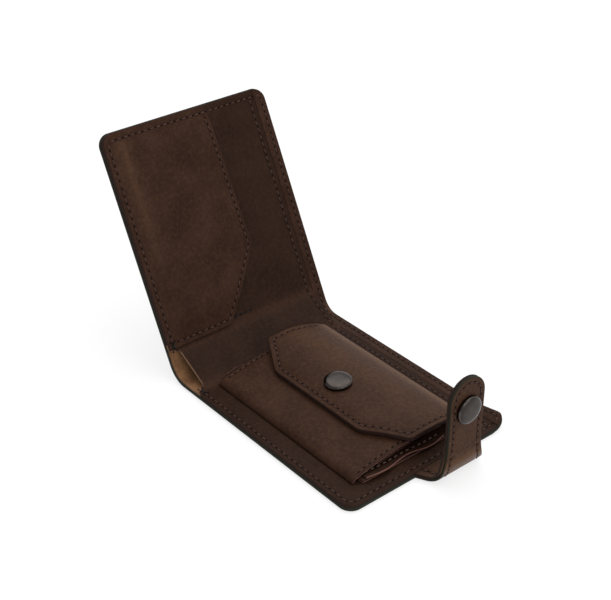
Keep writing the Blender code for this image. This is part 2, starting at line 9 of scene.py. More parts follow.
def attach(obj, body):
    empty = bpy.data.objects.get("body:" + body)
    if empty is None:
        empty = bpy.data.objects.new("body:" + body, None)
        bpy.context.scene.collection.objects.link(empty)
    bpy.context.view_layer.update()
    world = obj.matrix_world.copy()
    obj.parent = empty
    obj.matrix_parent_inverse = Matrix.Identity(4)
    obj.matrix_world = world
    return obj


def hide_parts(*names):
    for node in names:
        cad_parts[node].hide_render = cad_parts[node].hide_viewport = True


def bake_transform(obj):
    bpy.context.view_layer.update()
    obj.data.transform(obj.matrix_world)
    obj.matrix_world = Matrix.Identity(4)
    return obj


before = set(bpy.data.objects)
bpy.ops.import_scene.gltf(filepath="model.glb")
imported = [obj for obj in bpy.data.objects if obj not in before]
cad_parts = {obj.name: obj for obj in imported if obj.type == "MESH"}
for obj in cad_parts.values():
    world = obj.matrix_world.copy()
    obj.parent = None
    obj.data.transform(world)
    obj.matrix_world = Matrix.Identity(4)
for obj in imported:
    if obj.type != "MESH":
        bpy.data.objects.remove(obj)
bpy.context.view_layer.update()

# Cover: one blank of oiled leather, 1.5 mm thick, with four rounded corners, bent round the spine.
# Its grain side is outside, its raw flesh side lines the note compartment, and its cut edge is dyed dark.
# All sizes here are in millimetres, and a blank is drawn flat before it is bent to shape.
EDGE = 55.7
FOLD = -55.7
HALF = 45.0
SPINE_RADIUS = 11.5
SPINE_TURN = math.radians(63.2)
SPINE_RUN = SPINE_RADIUS * SPINE_TURN
BACK_LENGTH = 106.5
COVER_THICK = 1.5
COVER_CORNER = 5.8
BACK_END = FOLD - SPINE_RUN - BACK_LENGTH
STITCH_IN = 2.6
TOP_STITCH_IN = 3.7
NEAR_STITCH = STITCH_IN - HALF
FAR_STITCH = HALF - STITCH_IN
NEAR_SEAM_START = 12.0
BACK_SEAM_START = 8.4
RIM_SOFT = 0.4
GROOVE_DEPTH = 0.2
GROOVE_WIDTH = 0.55
SPINE_PLAY = 8.0
SPINE_BLEND = 5.0
CORNER_LIFT = 2.8
CURL_START = 36.0
CURL_LONG = 20.0
CURL_WIDE = 9.0
BROWN = (0.0350, 0.0159, 0.0096)
BROWN_DEEP = (0.0188, 0.0077, 0.0042)
# Pale tone for pulled-up oil at bends, also used as painted light and sheen on some pieces.
BROWN_PULLED_AND_LIT = (0.102, 0.0515, 0.0272)
TAN = (0.195, 0.101, 0.0445)
TAN_RED = (0.120, 0.054, 0.027)
EDGE_DYE = (0.0172, 0.0178, 0.0120)
BROWN_DYE = (0.0215, 0.0102, 0.0076)


class Sock:
    """A value in a node tree that can be added, multiplied and so on."""

    def __init__(self, nodes, socket):
        self.nodes = nodes
        self.socket = socket

    def work(self, kind, *values):
        return self.nodes.node("ShaderNodeMath", {"operation": kind}, dict(enumerate(values)))

    def __add__(self, other):
        return self.work("ADD", self, other)

    def __sub__(self, other):
        return self.work("SUBTRACT", self, other)

    def __rsub__(self, other):
        return self.work("SUBTRACT", other, self)

    def __mul__(self, other):
        return self.work("MULTIPLY", self, other)

    __radd__ = __add__
    __rmul__ = __mul__

    def ramp(self, low, high):
        """0 below low, 1 above high, smooth between."""
        inputs = {"Value": self, "From Min": low, "From Max": high}
        return self.nodes.node("ShaderNodeMapRange", {"interpolation_type": "SMOOTHSTEP"}, inputs, "Result")


class Nodes:
    """A node tree, built up node by node."""

    def __init__(self, tree):
        self.tree = tree

    def node(self, kind, settings, inputs, output=0):
        made = self.tree.nodes.new(kind)
        for name, value in settings.items():
            setattr(made, name, value)
        self.feed(made, inputs)
        return Sock(self, made.outputs[output])

    def feed(self, made, inputs):
        for name, value in inputs.items():
            if isinstance(value, Sock):
                self.tree.links.new(value.socket, made.inputs[name])
            else:
                made.inputs[name].default_value = value

    def attribute(self, name, output="Fac"):
        return self.node("ShaderNodeAttribute", {"attribute_name": name}, {}, output)

    def noise(self, place, scale, detail, rough):
        inputs = {"Vector": place, "Scale": scale, "Detail": detail, "Roughness": rough}
        return self.node("ShaderNodeTexNoise", {}, inputs, "Fac")

    def cells(self, place, scale, feature="F1"):
        inputs = {"Vector": place, "Scale": scale}
        return self.node("ShaderNodeTexVoronoi", {"feature": feature}, inputs, "Distance")

    def mix(self, amount, first, second):
        colours = [value if isinstance(value, Sock) else (*value, 1.0) for value in (first, second)]
        inputs = {0: amount, 6: colours[0], 7: colours[1]}
        return self.node("ShaderNodeMix", {"data_type": "RGBA"}, inputs, 2)

    def stretch(self, place, factors):
        return self.node("ShaderNodeVectorMath", {"operation": "MULTIPLY"}, {0: place, 1: factors})

    def bump(self, height, depth):
        inputs = {"Height": height, "Strength": 1.0, "Distance": depth}
        return self.node("ShaderNodeBump", {}, inputs, "Normal")


class Finish(Nodes):
    """A material on one surface shader."""

    def __init__(self, name):
        self.material = bpy.data.materials.new(name)
        self.material.use_nodes = True
        super().__init__(self.material.node_tree)
        self.surface = self.tree.nodes["Principled BSDF"]


def grain_leather(name, colour, deep, pulled_and_lit, dye):
    """Grain side: fine pebbles and cloudy oil, darker in its seams and at its rim, paler where it is marked:
    pulled-up oil at bends, and on some pieces painted light, sheen and highlight.
    """
    leather = Finish(name)
    place = leather.attribute("pattern", "Vector")
    rim = leather.attribute("rim")
    seam = leather.attribute("seam")
    pull_up_and_light = leather.attribute("pull_up_and_light")
    cloud = leather.noise(place, 0.055, 4.0, 0.6)
    fine = leather.noise(place, 0.55, 4.0, 0.65)
    pebble = leather.cells(place, 1.35)
    crease = leather.cells(place, 0.62, "DISTANCE_TO_EDGE")
    pore = leather.noise(place, 3.2, 2.0, 0.5)
    tone = leather.mix(cloud.ramp(0.30, 0.72), deep, colour)
    tone = leather.mix(fine.ramp(0.35, 0.85) * 0.24, tone, pulled_and_lit)
    # Paler where marked: pulled-up oil at bends, and painted light, sheen and highlight where a piece sets
    # it.
    tone = leather.mix((pull_up_and_light * (0.55 + 0.9 * fine)).ramp(0.05, 1.0) * 0.75, tone, pulled_and_lit)
    tone = leather.mix((1.0 - seam.ramp(0.1, 1.3)) * 0.55, tone, deep)
    tone = leather.mix(pebble.ramp(0.35, 0.75) * 0.22, tone, deep)
    tone = leather.mix(1.0 - rim.ramp(0.05, 0.45), tone, dye)
    height = (1.0 - pebble) * 0.55 + crease.ramp(0.0, 0.12) * 0.30 + pore * 0.18 + cloud * 0.25
    leather.feed(leather.surface, {
        "Base Color": tone,
        "Roughness": 0.52 + 0.14 * (cloud - 0.5) + 0.10 * pebble - 0.06 * pull_up_and_light,
        "Specular IOR Level": 0.05,
        "Coat Weight": pull_up_and_light.ramp(1.0, 1.8) * 0.7,
        "Coat Roughness": 0.5,
        "Normal": leather.bump(height, 0.00007),
    })
    return leather.material


def flesh_leather(name, colour, stain, dye):
    """Flesh side: matted tan fibres, blotched, with the edge's dye run a little way in."""
    flesh = Finish(name)
    rim = flesh.attribute("rim")
    place = flesh.attribute("pattern", "Vector")
    blotch = flesh.noise(place, 0.16, 4.0, 0.65)
    fibre = flesh.noise(flesh.stretch(place, (1.0, 2.6, 1.0)), 1.1, 5.0, 0.7)
    tone = flesh.mix(blotch.ramp(0.32, 0.68), stain, colour)
    tone = flesh.mix(fibre.ramp(0.4, 0.8) * 0.4, tone, tuple(min(1.0, 1.5 * c) for c in colour))
    tone = flesh.mix(1.0 - rim.ramp(0.3, 1.1), tone, dye)
    flesh.feed(flesh.surface, {
        "Base Color": tone,
        "Roughness": 0.85 + 0.1 * fibre,
        "Specular IOR Level": 0.2,
        "Normal": flesh.bump(fibre * 0.8 + blotch * 0.4, 0.00022),
    })
    return flesh.material


def dyed_edge(name, colour):
    """Cut edge: several coats of dark dye, rubbed smooth, with a few fibres showing."""
    dye = Finish(name)
    place = dye.attribute("pattern", "Vector")
    streak = dye.noise(dye.stretch(place, (0.5, 0.5, 3.0)), 0.9, 4.0, 0.6)
    dye.feed(dye.surface, {
        "Base Color": dye.mix(streak.ramp(0.5, 0.9) * 0.5, colour, tuple(2.4 * c for c in colour)),
        "Roughness": 0.60 + 0.2 * streak,
        "Specular IOR Level": 0.08,
        "Normal": dye.bump(streak, 0.00004),
    })
    return dye.material


COVER_GRAIN = grain_leather("oiled_cover_leather", BROWN, BROWN_DEEP, BROWN_PULLED_AND_LIT, EDGE_DYE)
PANEL_GRAIN = grain_leather("oiled_panel_leather", BROWN, BROWN_DEEP, BROWN_PULLED_AND_LIT, BROWN_DYE)
FLESH_SIDE = flesh_leather("tan_flesh_side", TAN, TAN_RED, BROWN_DYE)
COVER_FLESH = flesh_leather("tan_cover_flesh_side", TAN, TAN_RED, EDGE_DYE)
DARK_EDGE = dyed_edge("dark_dyed_edge", EDGE_DYE)
BROWN_EDGE = dyed_edge("brown_dyed_edge", BROWN_DYE)


def cut_blank(name, x0, x1, y0, y1):
    """A rectangular blank lying flat, left open for cutting."""
    bpy.ops.object.select_all(action="DESELECT")
    bpy.ops.mesh.primitive_plane_add(size=2, location=((x0 + x1) / 2, (y0 + y1) / 2, 0))
    blank = bpy.context.object
    blank.name = name
    blank.scale = ((x1 - x0) / 2, (y1 - y0) / 2, 1)
    bpy.ops.object.transform_apply(location=True, rotation=False, scale=True)
    bpy.ops.object.mode_set(mode="EDIT")
    bpy.ops.mesh.select_mode(type="VERT")
    return blank


def crease(point, across, cut_off=False):
    """Divides the blank along one straight line, and can cut off what lies beyond it."""
    way = Vector((*across, 0)).normalized()
    bpy.ops.mesh.select_all(action="SELECT")
    bpy.ops.mesh.bisect(plane_co=(*point, 0), plane_no=way, clear_outer=cut_off, threshold=1e-4)


def trim(point, outward):
    """Cuts the blank off along a straight line."""
    crease(point, outward, cut_off=True)


def pick(kind, test):
    """Selects what passes a test among the corners, edges or faces of the mesh in hand."""
    bpy.ops.mesh.select_mode(type=kind)
    bpy.ops.mesh.select_all(action="DESELECT")
    mesh = bpy.context.object.data
    shape = bmesh.from_edit_mesh(mesh)
    for part in {"VERT": shape.verts, "EDGE": shape.edges, "FACE": shape.faces}[kind]:
        part.select = test(part)
    bmesh.update_edit_mesh(mesh)


def cut_out(corners):
    """Cuts a straight-sided window or notch out of the blank, its corners given clockwise."""
    sides = list(zip(corners, corners[1:] + corners[:1]))

    def inside(face):
        x, y, _ = face.calc_center_median()
        return all((b[0] - a[0]) * (y - a[1]) < (b[1] - a[1]) * (x - a[0]) for a, b in sides)

    for a, b in sides:
        crease(a, (a[1] - b[1], b[0] - a[0]))
    pick("FACE", inside)
    bpy.ops.mesh.delete(type="FACE")
    bpy.ops.mesh.select_mode(type="VERT")


def round_corner(x, y, reach, steps=8):
    """Rounds one corner of the blank, starting at that reach from it along both sides."""
    pick("VERT", lambda corner: math.hypot(corner.co.x - x, corner.co.y - y) < 0.02)
    bpy.ops.mesh.bevel(offset=reach, segments=steps, affect="VERTICES", profile=0.5)


def score(*distances):
    """Scores lines parallel to the rim, for its rounding and its seam."""
    bpy.ops.mesh.select_all(action="SELECT")
    done = 0.0
    for distance in distances:
        bpy.ops.mesh.inset(thickness=distance - done, use_boundary=True, use_even_offset=True)
        done = distance


def rule(xs, ys=()):
    """Divides the blank along straight lines, so that it can bend there."""
    for x in xs:
        crease((x, 0), (1, 0))
    for y in ys:
        crease((0, y), (0, 1))


def spread(first, last, pitch):
    """Even places from first to last, about one pitch apart, with both ends left out."""
    count = max(2, round(abs(last - first) / pitch))
    return [first + (last - first) * k / count for k in range(1, count)]


def beside(place):
    """A seam's own line and one on each side of it, where its groove begins."""
    return [place - 0.5, place, place + 0.5]


def straight(*points):
    return [Vector(point) for point in points]


def rounded(corners):
    """Points on a line through corners (x, y, radius), turning each corner in an arc."""
    points = [Vector(corners[0][:2])]
    for before, (x, y, radius), after in zip(corners, corners[1:], corners[2:]):
        here = Vector((x, y))
        back = (Vector(before[:2]) - here).normalized()
        on = (Vector(after[:2]) - here).normalized()
        half = back.angle(on) / 2
        hub = here + (back + on).normalized() * (radius / math.sin(half))
        arm = here + back * (radius / math.tan(half)) - hub
        sweep = math.pi - 2 * half
        sense = 1 if back.cross(on) < 0 else -1
        count = max(3, round(sweep / 0.09))
        for k in range(count + 1):
            points.append(hub + Matrix.Rotation(sense * sweep * k / count, 2) @ arm)
    return points + [Vector(corners[-1][:2])]


def distance_to(flat, pairs):
    """How far each flat point lies from the nearest of the segments."""
    nearest = np.full(len(flat), 99.0)
    for ax, ay, bx, by in pairs:
        dx, dy = bx - ax, by - ay
        over_x, over_y = flat[:, 0] - ax, flat[:, 1] - ay
        share = np.clip((over_x * dx + over_y * dy) / max(dx * dx + dy * dy, 1e-9), 0, 1)
        nearest = np.minimum(nearest, np.hypot(over_x - share * dx, over_y - share * dy))
    return nearest


def mark(mesh, name, values):
    """Keeps a number or a vector for each corner of a mesh, for its finish to read."""
    values = np.asarray(values, np.float32)
    kind, field = ("FLOAT_VECTOR", "vector") if values.ndim == 2 else ("FLOAT", "value")
    mesh.attributes.new(name, kind, "POINT").data.foreach_set(field, values.ravel())


def form_sheet(blank, skin, thick, finishes, seams=(), pull_up_and_light_at=None, joined=None, undyed=None):
    """Gives the flat blank its thickness and lays it in place.

    skin(u, v, depth) is the place of a flat point at a depth below the grain side. The rim is rounded on both
    sides, each seam pulls a groove into the grain side, and joined marks flat points of a rim that runs on
    into the next piece, which stays square. The finishes are those of the grain side, the flesh side, the cut
    edge and, where undyed marks it, the raw edge. The paleness mark says how much paler the grain turns at
    each
    flat point: pulled-up oil at bends, and on some pieces painted light and highlight.
    """
    shape = bmesh.from_edit_mesh(blank.data)
    rims = []
    for edge in shape.edges:
        a, b = edge.verts
        if edge.is_boundary and not (joined and joined(*a.co.xy) and joined(*b.co.xy)):
            rims.append((*a.co.xy, *b.co.xy))
    bpy.ops.mesh.select_all(action="SELECT")
    bpy.ops.mesh.extrude_region_move(TRANSFORM_OT_translate={"value": (0, 0, 1)})
    bpy.ops.object.mode_set(mode="OBJECT")
    mesh = blank.data
    flat = np.empty(len(mesh.vertices) * 3)
    mesh.vertices.foreach_get("co", flat)
    flat = flat.reshape(-1, 3)
    rim = distance_to(flat, rims)
    seam = distance_to(flat, [(*a, *b) for line in seams for a, b in zip(line, line[1:])])
    soft = min(RIM_SOFT, 0.42 * thick)
    inset = np.clip(soft - rim, 0, soft)
    press = soft - np.sqrt(soft * soft - inset * inset)
    groove = GROOVE_DEPTH * np.exp(-((seam / GROOVE_WIDTH) ** 2))
    top = flat[:, 2] > 0.5
    depth = np.where(top, np.maximum(press, groove), thick - press)
    placed = [skin(u, v, d) for (u, v, _), d in zip(flat.tolist(), depth.tolist())]
    mesh.vertices.foreach_set("co", (np.array(placed) * 0.001).ravel())
    mark(mesh, "pattern", np.column_stack([flat[:, 0], flat[:, 1], depth]))
    mark(mesh, "rim", rim)
    mark(mesh, "seam", seam)
    mark(mesh, "pull_up_and_light", [pull_up_and_light_at(u, v) if pull_up_and_light_at else 0.0 for u, v, _ in flat.tolist()])
    for finish in finishes:
        mesh.materials.append(finish)
    for face in mesh.polygons:
        sides = {bool(top[k]) for k in face.vertices}
        face.material_index = 2 if len(sides) > 1 else (0 if True in sides else 1)
        cut = len(sides) > 1 or max(rim[k] for k in face.vertices) < 0.3
        if cut and undyed and all(undyed(*flat[k, :2]) for k in face.vertices):
            face.material_index = 3
    bpy.ops.object.mode_set(mode="EDIT")
    bpy.ops.mesh.select_all(action="SELECT")
    bpy.ops.mesh.normals_make_consistent(inside=False)
    bpy.ops.object.mode_set(mode="OBJECT")
    bpy.ops.object.shade_smooth_by_angle(angle=math.radians(38))
    return blank


def ease(value):
    value = min(max(value, 0.0), 1.0)
    return value * value * (3 - 2 * value)


def curl(x, y):
    """How far the far corner by the strap has curled up off the table."""
    return CORNER_LIFT * ease((x - CURL_START) / CURL_LONG) * ease((y - CURL_START) / CURL_WIDE)


def wrap(run, y, inside):
    """A place on the bent cover, by its run along the outside and its depth from there."""
    past = FOLD - run
    if past <= 0:
        return (run, y, inside + curl(run, y))
    turn = min(past / SPINE_RADIUS, SPINE_TURN)
    over = past - turn * SPINE_RADIUS
    radius = SPINE_RADIUS - inside
    x = FOLD - radius * math.sin(turn) - over * math.cos(turn)
    return (x, y, SPINE_RADIUS - radius * math.cos(turn) + over * math.sin(turn))


def bump_curve(value, middle, width):
    return math.exp(-(((value - middle) / width) ** 2))


def metres(point):
    return tuple(0.001 * k for k in point)


SPINE_START = metres((FOLD + SPINE_BLEND, 0, 0))
SPINE_END = metres(wrap(FOLD - SPINE_RUN - SPINE_BLEND, 0, 0))


def rim_seam(start, end):
    """The seam round one end of the cover, from its near side to the far side of the fold."""
    turn = COVER_CORNER - STITCH_IN
    corners = [(end, NEAR_STITCH, turn), (end, FAR_STITCH, turn)]
    return rounded([(start, NEAR_STITCH, 0), *corners, (FOLD, FAR_STITCH, 0)])


near_seam = rim_seam(FOLD + NEAR_SEAM_START, EDGE - STITCH_IN)
back_seam = rim_seam(FOLD - SPINE_RUN - BACK_SEAM_START, BACK_END + TOP_STITCH_IN)
groove_lines = [STITCH_IN + d for d in (-1.0, -0.5, 0.0, 0.5, 1.0)]
spine_lines = spread(FOLD + SPINE_PLAY, FOLD - SPINE_RUN - SPINE_PLAY, 0.8)
cover = cut_blank("wallet_cover", BACK_END, EDGE, -HALF, HALF)
for corner_x in (BACK_END, EDGE):
    for corner_y in (-HALF, HALF):
        round_corner(corner_x, corner_y, COVER_CORNER, 12)
score(0.1, 0.28, 0.6, *groove_lines)
rule([BACK_END + TOP_STITCH_IN + d for d in (0.0, 0.5, 1.0)] + [FOLD + 20] + spread(-5, EDGE, 5))
rule(spine_lines)
rule(spread(FOLD - SPINE_RUN - SPINE_PLAY, BACK_END, 14), spread(-HALF, 15, 9) + spread(15, HALF, 3))
form_sheet(
    cover, wrap, COVER_THICK, (COVER_GRAIN, COVER_FLESH, DARK_EDGE), (near_seam, back_seam),
    lambda run, y: 0.75 * bump_curve(run, FOLD - SPINE_RUN / 2, 7.0),
)
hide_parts("cover_flat", "cover_spine", "cover_back")
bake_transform(cover)

# Cover seams: waxed brown thread, saddle-stitched by hand through all layers of the rim.
# Each stitch is a short thread lying in the groove, its two ends pulled down into the awl holes, each hole a
# flat dark disc of painted shade.
THREAD = (0.064, 0.0300, 0.0228)
TACK_THREAD = (0.0045, 0.0045, 0.0050)
HOLE_SHADE = (0.0050, 0.0032, 0.0026, 1.0)
PITCH = 3.4
SHORT_PITCH = 3.1
STITCH_LENGTH = 2.05
STITCH_WIDE = 0.31
STITCH_HIGH = 0.25
STITCH_SLANT = 0.10
HOLE_LONG = 0.56
HOLE_WIDE = 0.38


def waxed_thread(name, colour):
    """Waxed thread: a tight twist of plies with a soft shine, their crowns painted light and their grooves
    dark.
    """
    thread = Finish(name)
    place = thread.attribute("strand", "Vector")
    lengthways = thread.node("ShaderNodeSeparateXYZ", {}, {0: place}, 0)
    across = thread.node("ShaderNodeSeparateXYZ", {}, {0: place}, 1)
    angle = lengthways * 9.0 + across * 11.0
    twist = angle.work("SINE", angle)
    fuzz = thread.noise(place, 2.4, 3.0, 0.6)
    # The twist's light and dark bands are painted highlight and shade on the plies; the fuzz is the thread's
    # own uneven tone.
    dark, light = [tuple(share * c for c in colour) for share in (0.45, 1.9)]
    thread.feed(thread.surface, {
        "Base Color": thread.mix(0.35 * twist + 0.5 * fuzz, dark, light),
        "Roughness": 0.5 + 0.2 * fuzz,
        "Specular IOR Level": 0.2,
        "Normal": thread.bump(twist * 0.5 + fuzz * 0.3, 0.00008),
    })
    return thread.material


THREAD_FINISH = waxed_thread("waxed_brown_thread", THREAD)
TACK_FINISH = waxed_thread("waxed_black_thread", TACK_THREAD)
# Awl hole: a matt near-black disc laid on the grain, painted shade in place of the hollow of a real hole.
awl_hole_shade = Finish("awl_hole_shade")
awl_hole_shade.feed(awl_hole_shade.surface, {"Base Color": HOLE_SHADE, "Roughness": 0.9, "Specular IOR Level": 0.05})
bpy.ops.object.select_all(action="DESELECT")
bpy.ops.mesh.primitive_uv_sphere_add(segments=8, ring_count=6, radius=1)
one_stitch = bpy.context.object
one_stitch.rotation_euler = (0, math.pi / 2, 0)
bpy.ops.object.transform_apply(location=False, rotation=True, scale=False)
bpy.ops.object.select_all(action="DESELECT")
bpy.ops.mesh.primitive_circle_add(vertices=8, radius=1, fill_type="NGON")
one_hole_shade = bpy.context.object


def sew(name, lines, skin, depth=0.1, pitch=PITCH, length=STITCH_LENGTH, finish=THREAD_FINISH):
    """A row of stitches along each flat line, from hole to hole, lying on the skin at that depth; each hole
    is a flat dark disc of painted shade.
    """
    points = []
    faces = []
    strands = []
    kinds = []

    def lay(master, place, axes, size, sag, kind, shift):
        shape = np.array([v.co for v in master.data.vertices])
        local = shape * size
        local[:, 2] += sag[0] - sag[1] * shape[:, 0] ** 2
        first = sum(map(len, points))
        points.append(np.array(place) + local @ np.array(axes))
        strands.append(local + (shift, 0, 0))
        for face in master.data.polygons:
            faces.append([first + k for k in face.vertices])
            kinds.append(kind)

    for line in lines:
        run = np.concatenate([[0], np.cumsum([(b - a).length for a, b in zip(line, line[1:])])])
        xs = [p[0] for p in line]
        ys = [p[1] for p in line]
        count = max(1, round(run[-1] / pitch))

        def spot(along, deep):
            return Vector(skin(np.interp(along, run, xs), np.interp(along, run, ys), deep))

        for k in range(2 * count + 1):
            at = k * run[-1] / (2 * count)
            here = spot(at, depth)
            up = (spot(at, depth - 0.5) - spot(at, depth + 0.5)).normalized()
            ahead = (spot(at + 0.6, depth) - spot(at - 0.6, depth)).normalized()
            side = up.cross(ahead).normalized()
            if k % 2:
                axes = [ahead + side * STITCH_SLANT, side - ahead * STITCH_SLANT, up]
                size = (length / 2, STITCH_WIDE, STITCH_HIGH)
                lay(one_stitch, here, axes, size, (0.13, 0.26), 0, 3.7 * k)
            else:
                # Each hole is a flat dark disc: painted shade, not a real hole.
                lay(one_hole_shade, here, [ahead, side, up], (HOLE_LONG, HOLE_WIDE, 1.0), (0.04, 0.0), 1, 0.0)
    bpy.ops.object.select_all(action="DESELECT")
    bpy.ops.mesh.primitive_plane_add(size=1)
    row = bpy.context.object
    row.name = name
    mesh = bpy.data.meshes.new(name)
    mesh.from_pydata((np.concatenate(points) * 0.001).tolist(), [], faces)
    row.data = mesh
    mark(mesh, "strand", np.concatenate(strands))
    mesh.materials.append(finish)
    mesh.materials.append(awl_hole_shade.material)
    mesh.polygons.foreach_set("material_index", kinds)
    bpy.ops.object.shade_smooth()
    return row


cover_seam = sew("cover_seam_outside", [near_seam, back_seam], wrap)
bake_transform(cover_seam)

# Note hem: a narrow strip of the same leather sewn inside the cover's far edge, right across the spine.
# It stiffens the mouth of the note compartment, and its cut edge is dyed brown.
HEM_DEPTH = 2.6
HEM_LOW = 1.55
HEM_EDGE = HALF - 6.15
LAYER_INSET = 0.3
LAYER_SINK = 0.25
SEAM_STOP = 0.6
RIM_LINES = (0.1, 0.28, 0.55)


def hem_skin(run, y, depth):
    return wrap(run, y, HEM_DEPTH - depth)


hem = cut_blank("note_hem", BACK_END + LAYER_INSET, EDGE - LAYER_INSET, -HALF, HALF)
for corner_x in (BACK_END + LAYER_INSET, EDGE - LAYER_INSET):
    round_corner(corner_x, HALF, COVER_CORNER, 12)
trim((0, HEM_EDGE), (0, -1))
score(*RIM_LINES)
rule([], [HALF - line for line in groove_lines])
rule([BACK_END + 6, BACK_END + 12] + spread(-5, EDGE, 5))
rule(spine_lines)
hem_seam = rounded([
    (EDGE - STITCH_IN, HEM_EDGE + SEAM_STOP, 0),
    (EDGE - STITCH_IN, FAR_STITCH, 2.4),
    (BACK_END + TOP_STITCH_IN, FAR_STITCH, 2.4),
    (BACK_END + TOP_STITCH_IN, HEM_EDGE + SEAM_STOP, 0),
])
form_sheet(
    hem, hem_skin, HEM_DEPTH - HEM_LOW, (PANEL_GRAIN, FLESH_SIDE, BROWN_EDGE), [hem_seam],
    lambda run, y: 0.6 * bump_curve(run, FOLD - SPINE_RUN / 2, 7.0),
)
hem_thread = sew("note_hem_seam", [hem_seam], hem_skin)
for piece in (hem, hem_thread):
    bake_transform(piece)
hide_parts("hem_flat", "hem_spine", "hem_back")

# Divider: one sheet of thinner, drier leather that walls off the note compartment.
# It is sewn to the cover on three sides and spans the spine free, cut back there so that it can fold.
DIVIDER_TOP = 2.8
DIVIDER_LOW = 1.55
DIVIDER_MIDDLE = 2.3
DIVIDER_EDGE = HALF - 6.3
SPAN_RUN = 9.0
SPAN_BACK_RUN = 6.6
SPAN_BEND = 9.0
SPAN_BLEND = 4.0
CUT_BACK = 5.2
FAR_SEAM_IN = 2.7
TACK_HALF = 2.2
TACK_RISE = 1.1
TACK_DEPTH = -0.1
RAW_TAN = (0.142, 0.080, 0.048)
INNER_BROWN = (0.0225, 0.0101, 0.0060)
INNER_DEEP = (0.0140, 0.0057, 0.0032)
# Pale tone for pulled-up oil, also used as painted light on the strap's lining.
INNER_PULLED_AND_LIT = (0.068, 0.033, 0.018)
RAW_TAN_EDGE = dyed_edge("raw_tan_edge", RAW_TAN)
INNER_GRAIN = grain_leather("dry_brown_leather", INNER_BROWN, INNER_DEEP, INNER_PULLED_AND_LIT, BROWN_DYE)


def bend_line(corners):
    """A cross-section through corners (x, z, radius): its runs, points and left-hand normals."""
    points = np.array(rounded(corners))
    moved = np.hypot(*np.diff(points, axis=0).T) > 1e-6
    points = points[np.concatenate([[True], moved])]
    ahead = np.diff(points, axis=0)
    lengths = np.hypot(*ahead.T)
    ahead /= lengths[:, None]
    turns = np.vstack([ahead[:1], ahead[:-1] + ahead[1:], ahead[-1:]])
    turns /= np.hypot(*turns.T)[:, None]
    return np.concatenate([[0], np.cumsum(lengths)]), points, np.column_stack([-turns[:, 1], turns[:, 0]])


def on_line(line, run, left):
    """The place at a run along the line, moved to its left."""
    runs, points, normals = line
    x = np.interp(run, runs, points[:, 0]) + left * np.interp(run, runs, normals[:, 0])
    z = np.interp(run, runs, points[:, 1]) + left * np.interp(run, runs, normals[:, 1])
    return float(x), float(z)


foot_x, _, foot_z = wrap(FOLD - SPINE_RUN - SPAN_BACK_RUN, 0, DIVIDER_TOP)
top_x, _, top_z = wrap(BACK_END + LAYER_INSET, 0, DIVIDER_TOP)
DIVIDER_LINE = bend_line([
    (EDGE - LAYER_INSET, DIVIDER_TOP, 0),
    (FOLD + SPAN_RUN, DIVIDER_TOP, SPAN_BEND),
    (foot_x, foot_z, SPAN_BEND),
    (top_x, top_z, 0),
])
DIVIDER_RUN = float(DIVIDER_LINE[0][-1])
SPAN_A = EDGE - LAYER_INSET - (FOLD + SPAN_RUN)
SPAN_B = DIVIDER_RUN - (BACK_LENGTH - LAYER_INSET - SPAN_BACK_RUN)
foot_seam_u = STITCH_IN - LAYER_INSET
top_seam_u = DIVIDER_RUN - TOP_STITCH_IN + LAYER_INSET
far_seam_y = DIVIDER_EDGE - FAR_SEAM_IN


def divider_skin(run, y, depth):
    # The divider is drawn from its strap end, so that its grain side comes out on the right of the line.
    x, z = on_line(DIVIDER_LINE, run, depth)
    sag = 0.35 * math.sin(y * 0.11 + 0.6) * bump_curve(run, (SPAN_A + SPAN_B) / 2, 7.0)
    return (x, y, z + sag + curl(x, y))


divider = cut_blank("note_divider", 0, DIVIDER_RUN, LAYER_INSET - HALF, DIVIDER_EDGE)
for corner_x in (0, DIVIDER_RUN):
    round_corner(corner_x, LAYER_INSET - HALF, COVER_CORNER - LAYER_INSET, 12)
cut_out([
    (SPAN_A - 2.2, -HALF - 0.5),
    (SPAN_A + 1.4, CUT_BACK - HALF),
    (SPAN_B - 1.4, CUT_BACK - HALF),
    (SPAN_B + 0.6, -HALF - 0.5),
])
score(*RIM_LINES)
rule(beside(foot_seam_u) + [foot_seam_u + 1.2] + beside(top_seam_u))
rule(spread(4.4, 60, 5) + [75, SPAN_A - 6])
rule(spread(SPAN_A - 6, SPAN_B + 6, 1.0), beside(NEAR_STITCH))
rule([], [NEAR_STITCH + d for d in (1, 6, 12, 22, 32, 42, 52)] + spread(16, 36, 3))
rule(spread(SPAN_B + 6, DIVIDER_RUN, 16), beside(far_seam_y))
divider_near_seam = rounded([
    (SPAN_A - 3.0, NEAR_STITCH, 0),
    (foot_seam_u, NEAR_STITCH, COVER_CORNER - STITCH_IN),
    (foot_seam_u, DIVIDER_EDGE - SEAM_STOP, 0),
])
divider_top_seam = straight((top_seam_u, 12.0), (top_seam_u, DIVIDER_EDGE - SEAM_STOP))
divider_far_seam = straight((STITCH_IN, far_seam_y), (DIVIDER_RUN - TOP_STITCH_IN, far_seam_y))
divider_seams = (divider_near_seam, divider_top_seam, divider_far_seam)
form_sheet(
    divider, divider_skin, DIVIDER_TOP - DIVIDER_LOW,
    (INNER_GRAIN, FLESH_SIDE, BROWN_EDGE, RAW_TAN_EDGE), divider_seams,
    lambda run, y: 0.4 * (bump_curve(run, SPAN_A, 4.0) + bump_curve(run, SPAN_B, 4.0)),
    undyed=lambda run, y: SPAN_A - 3 < run < SPAN_B + 3 and y < 0,
)


def tack(name, u, skin):
    """Two long stitches that cross, to lock the end of a seam by the near edge."""
    near, far = u - TACK_HALF, u + TACK_HALF
    lines = [straight((near, NEAR_STITCH - up), (far, NEAR_STITCH + up)) for up in (-TACK_RISE, TACK_RISE)]
    return sew(name, lines, skin, TACK_DEPTH, 6.0, 4.6, TACK_FINISH)


